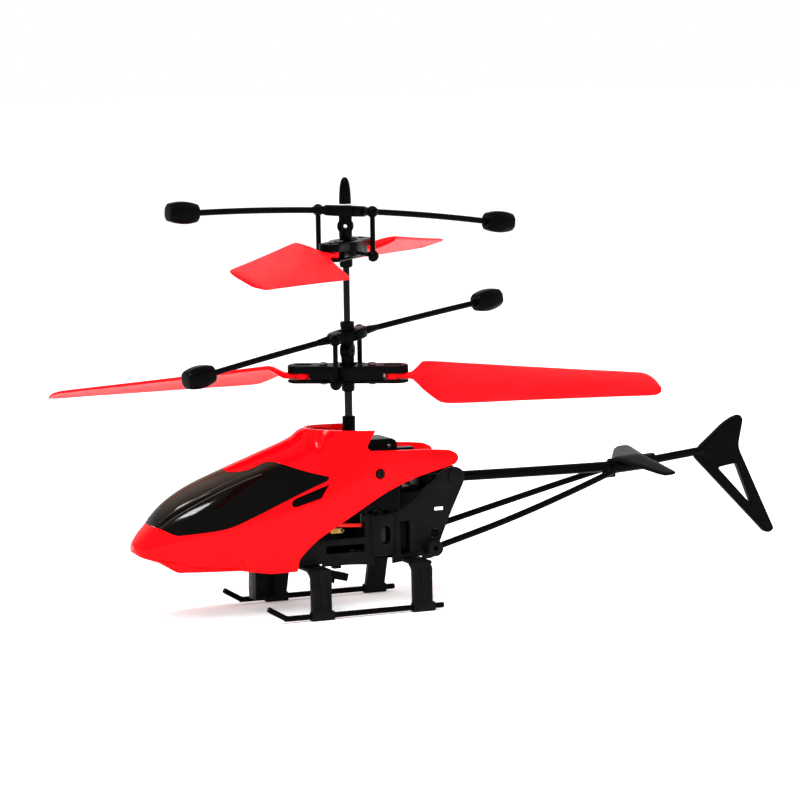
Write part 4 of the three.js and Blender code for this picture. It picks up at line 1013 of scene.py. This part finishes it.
def grip_screw():
    head = GRIP_TOP + 0.1
    screw = spun([(0, -2.6), (0.7, -2.6), (0.85, -2.45), (0.85, -2.15), (0.45, -2.15), (0.45, head),
                  (1.0, head), (1.05, head + 0.1), (0.98, head + 0.25), (0.7, head + 0.4),
                  (0.3, head + 0.45), (0, head + 0.46)], 32)
    lift = Matrix.Translation((0, 0, head + 0.46))
    return cut(screw, *[shaped(tool, lift) for tool in cross_recess(0.3, 0.6, 0.14)])


# Distance along the span, leading and trailing edge from the span line, pitch, thickness, and
# how far the section has left the grip's level for the blade's own level.
BLADE_STATIONS = [
    (11.2, 1.25, -1.25, 0, 1.35, 0),
    (14.0, 1.25, -1.25, 0, 1.35, 0),
    (15.1, 4.2, -1.6, 12, 1.3, 0.4),
    (16.3, 7.0, -2.5, 20, 1.25, 0.8),
    (17.6, 7.1, -4.1, 22.3, 1.15, 1),
    (20.5, 6.9, -7.6, 22.3, 1.1, 1),
    (22.8, 6.65, -9.7, 22.2, 1.1, 1),
    (24.8, 6.45, -10.15, 22, 1.05, 1),
    (40.0, 4.9, -9.45, 20.7, 0.95, 1),
    (55.0, 3.4, -8.75, 19.4, 0.85, 1),
    (65.6, 2.35, -8.3, 18.4, 0.75, 1),
    (67.2, 2.05, -8.25, 18.3, 0.72, 1),
    (68.7, 0.95, -8.2, 18.2, 0.7, 1),
    (70.0, -0.75, -8.05, 18.2, 0.66, 1),
    (71.1, -2.9, -7.7, 18.2, 0.62, 1),
    (sqrt(ROTOR_RADIUS ** 2 - 6.6 ** 2), -4.8, -6.6, 18.2, 0.6, 1),
]
BLADE_ROOT_LEVEL = -0.575
BLADE_INSET = 0.03


def blade(hand, level, droop):
    """Blade along x from its pivot: a cambered skin with round edges, and the eye of its root."""
    at = smooth_table(BLADE_STATIONS)
    start, end = BLADE_STATIONS[0][0], BLADE_STATIONS[-1][0]
    stations = []
    for near, far, count in ((start, 26, 44), (26, 64, 24), (64, end, 28)):
        stations += [near + (far - near) * i / count for i in range(count)]
    stations.append(end)
    rings = []
    for x in stations:
        lead, trail, pitch, thick, share = at(x)
        lead, trail = lead - BLADE_INSET, trail + BLADE_INSET
        chord = lead - trail
        turn = radians(pitch)
        fall = max(0, x - 14.2) * tan(radians(droop))
        height = BLADE_ROOT_LEVEL + share * (level - BLADE_ROOT_LEVEL) - fall
        shaped_share = min(pitch / 12, 1)
        rim = thick / 2
        inner = [rim + (chord - 2 * rim) * k / 10 for k in range(11)]
        ends = [rim * (1 - cos(pi / 2 * k / 3)) for k in range(3)]
        offsets = ends + inner + [chord - d for d in reversed(ends)]

        def at_face(distance, face):
            step = distance / chord
            edge = min(distance, chord - distance, rim) / rim
            roundness = sqrt(max(0.0, 1 - (1 - edge) ** 2))
            airfoil = 0.35 + 0.65 * sqrt(max(0.0, 1 - (2 * step - 0.8) ** 2))
            bulge = (1 - shaped_share) + shaped_share * airfoil
            crown = shaped_share * 0.045 * chord * 4 * step * (1 - step)
            up = crown + face * rim * bulge * roundness
            along = lead - distance
            return (x - BLADE_PIVOT, hand * (along * cos(turn) - up * sin(turn)),
                    along * sin(turn) + up * cos(turn) + height)

        top = [at_face(d, 1) for d in offsets]
        bottom = [at_face(d, -1) for d in reversed(offsets[1:-1])]
        rings.append(top + bottom)
    eye = rod((0, 0, -1.25), (0, 0, 0.1), 1.7, 36, 0.12)
    return cut(join(loft(rings), eye), hole((0, 0, -2), (0, 0, 1), 0.95, 32))


def flybar(hand, droop):
    """Spindle-shaped ring round the column, two drooping rods and two arms with balls."""
    bar = plan([(5.2 * x, 3.05 * y) for x, y in circle(1, 48)], -1.2, 1.2, 0.35)
    for end in (1, -1):
        line = [(x * end, 0, -droop * (x / FLYBAR_TIP) ** 2) for x in (3.6, 12, 22, 31, FLYBAR_TIP)]
        tip = Vector(polar(LINK_RADIUS * end, hand * (LINK_LEAD - FLYBAR_LEAD)))
        taper = rod((4.2 * end, 0, 0), (8.5 * end, 0, 0), 1.1, 24, 0.05, FLYBAR_ROD_R + 0.02)
        bar = join(bar, tube(line, FLYBAR_ROD_R, steps=5), taper, *arm(tip * 0.55, tip))
    return cut(bar, block(-2.05, 2.05, -1.8, 1.8, -3, 3, 0.02, 0.3), hole((0, -4, 0), (0, 4, 0), 0.72))


def flybar_weight():
    """Barrel along x with a chamfered square section, flat ends and a bore for the rod."""
    half_length = 3.6
    rim = 0.3
    stations = [-half_length + rim * (1 - cos(pi / 2 * k / 4)) for k in range(4)]
    stations += [-half_length + rim + (2 * half_length - 2 * rim) * k / 20 for k in range(21)]
    stations += [-along for along in reversed(stations[:4])]
    rings = []
    for along in stations:
        inset = max(0.0, rim - (half_length - abs(along)))
        rounding = rim - sqrt(max(0.0, rim ** 2 - inset ** 2))
        bulge = cos(along / half_length * pi / 2) ** 0.8 if abs(along) < half_length else 0
        half = 1.84 + 0.67 * bulge - rounding
        corner = 0.5 * half
        section = [(half, corner), (corner, half), (-corner, half), (-half, corner)]
        section += [(-y, -z) for y, z in section]
        rings.append([(along, y, z) for y, z in softened(section, share=0.28, steps=4)])
    bore = hole((-5, 0, 0), (FLYBAR_TIP - WEIGHT_RADIUS + 0.3, 0, 0), FLYBAR_ROD_R + 0.24)
    return cut(loft(rings), bore)


def link(length):
    """Rod with a ball at each end, and a socket in each ball."""
    body = rod((0, 0, 0), (0, 0, length), 0.58, 20)
    body = join(body, *[ball((0, 0, z), LINK_BALL_R, 28) for z in (0, length)])
    return cut(body, *[hole((-2, 0, z), (0.86, 0, z), LINK_SOCKET_R) for z in (0, length)])


def rotor_head(name, head):
    hand = head["hand"]
    base = moved(ROOT, (MAST_X, 0, head["height"]), degrees=head["angle"])
    grip = moved(base, (0, 0, 0), (1, 0, 0), head["feather"])
    bar = moved(base, (0, 0, FLYBAR_RISE), degrees=hand * FLYBAR_LEAD)
    tilted = moved(bar, (0, 0, 0), (0, -1, 0), head["teeter"])
    grip_body, bar_body = f"{name}_grip_assembly", f"{name}_flybar_assembly"
    piece(f"{name}_hub", rotor_hub(head), f"{name}_rotor_hub", body=head["rotor"], at=base)
    piece(f"{name}_grip", blade_grip(hand), f"{name}_blade_grip", body=grip_body, at=grip)
    piece(f"{name}_grip_cover", grip_plate(), f"{name}_grip_plate", body=grip_body, at=grip)
    ring = flybar(hand, head["flybar_droop"])
    piece(f"{name}_flybar_ring", ring, f"{name}_flybar", body=bar_body, at=tilted)
    teeter, feather = radians(head["teeter"]), radians(head["feather"])
    rise = LINK_RADIUS / 2 * (sin(teeter) * cos(radians(LINK_LEAD - FLYBAR_LEAD))
                              + hand * sin(feather) * sin(radians(LINK_LEAD)))
    for index, (end, sign, turn) in enumerate((("a", 1, 0), ("b", -1, 180))):
        half = moved(grip, (0, 0, 0), degrees=turn)
        piece(f"{name}_screw_{end}", grip_screw(), f"{name}_grip_screw_{end}", body=grip_body,
              slot="screw_steel", at=moved(grip, (GRIP_SCREW * sign, 0, 0)), angle=30)
        piece(f"{name}_rotor_blade_{end}", blade(hand, head["levels"][index], head["droops"][index]),
              f"{name}_blade_{end}", body=f"{name}_blade_{end}_body", slot="red_blade",
              at=moved(half, (BLADE_PIVOT, 0, 0), degrees=head["fold"]))
        bar_half = moved(tilted, (0, 0, 0), degrees=turn)
        piece(f"{name}_weight_{end}", flybar_weight(), f"{name}_flybar_weight_{end}", body=bar_body,
              at=moved(bar_half, (WEIGHT_RADIUS, 0, -head["flybar_droop"])))
        line = hand * LINK_LEAD + turn
        foot = moved(base, polar(LINK_RADIUS, line, -LINK_DROP + sign * rise), degrees=line)
        piece(f"{name}_rod_{end}", link(FLYBAR_RISE + LINK_DROP), f"{name}_link_{end}",
              body=f"{name}_link_{end}_body", at=foot)


def mast_top():
    profile = [(0, 92.45), (1.25, 92.45), (1.38, 92.6), (1.38, 93.6), (1.34, 94.5), (1.27, 95.5),
               (1.14, 96.7), (0.93, 97.6), (0.66, 98.2), (0.35, 98.48), (0, 98.55)]
    on_mast = moved(ROOT, (MAST_X, 0, 0))
    piece("top_cap", spun(profile, 40), "mast_cap", body="upper_rotor", at=on_mast)


# ---- everything ----
add_camera()
add_studio()
canopy()
window_ridges()
vents()
shell_screws()
for side_facts in SIDES:
    side_plate(*side_facts)
for copied, facts in ROUNDED.items():
    rounded_copy(copied, *facts)
middle_shade_wall()
painted_shade_sheets()
gear_case_details()
wiring()
boom()
fin()
stabiliser()
braces()
landing_legs("front", FRONT_LEG_X)
landing_legs("rear", REAR_LEG_X)
skids()
for head_name, head_facts in HEADS.items():
    rotor_head(head_name, head_facts)
mast_top()

floor_mesh = bpy.data.meshes.new("floor")
floor_mesh.from_pydata([(x, y, 0) for x, y in rectangle(-6, 6, -6, 6)], [], [(0, 1, 2, 3)])
floor = linked("floor", floor_mesh)
floor_mesh.materials.append(MATERIALS["pale_floor"])
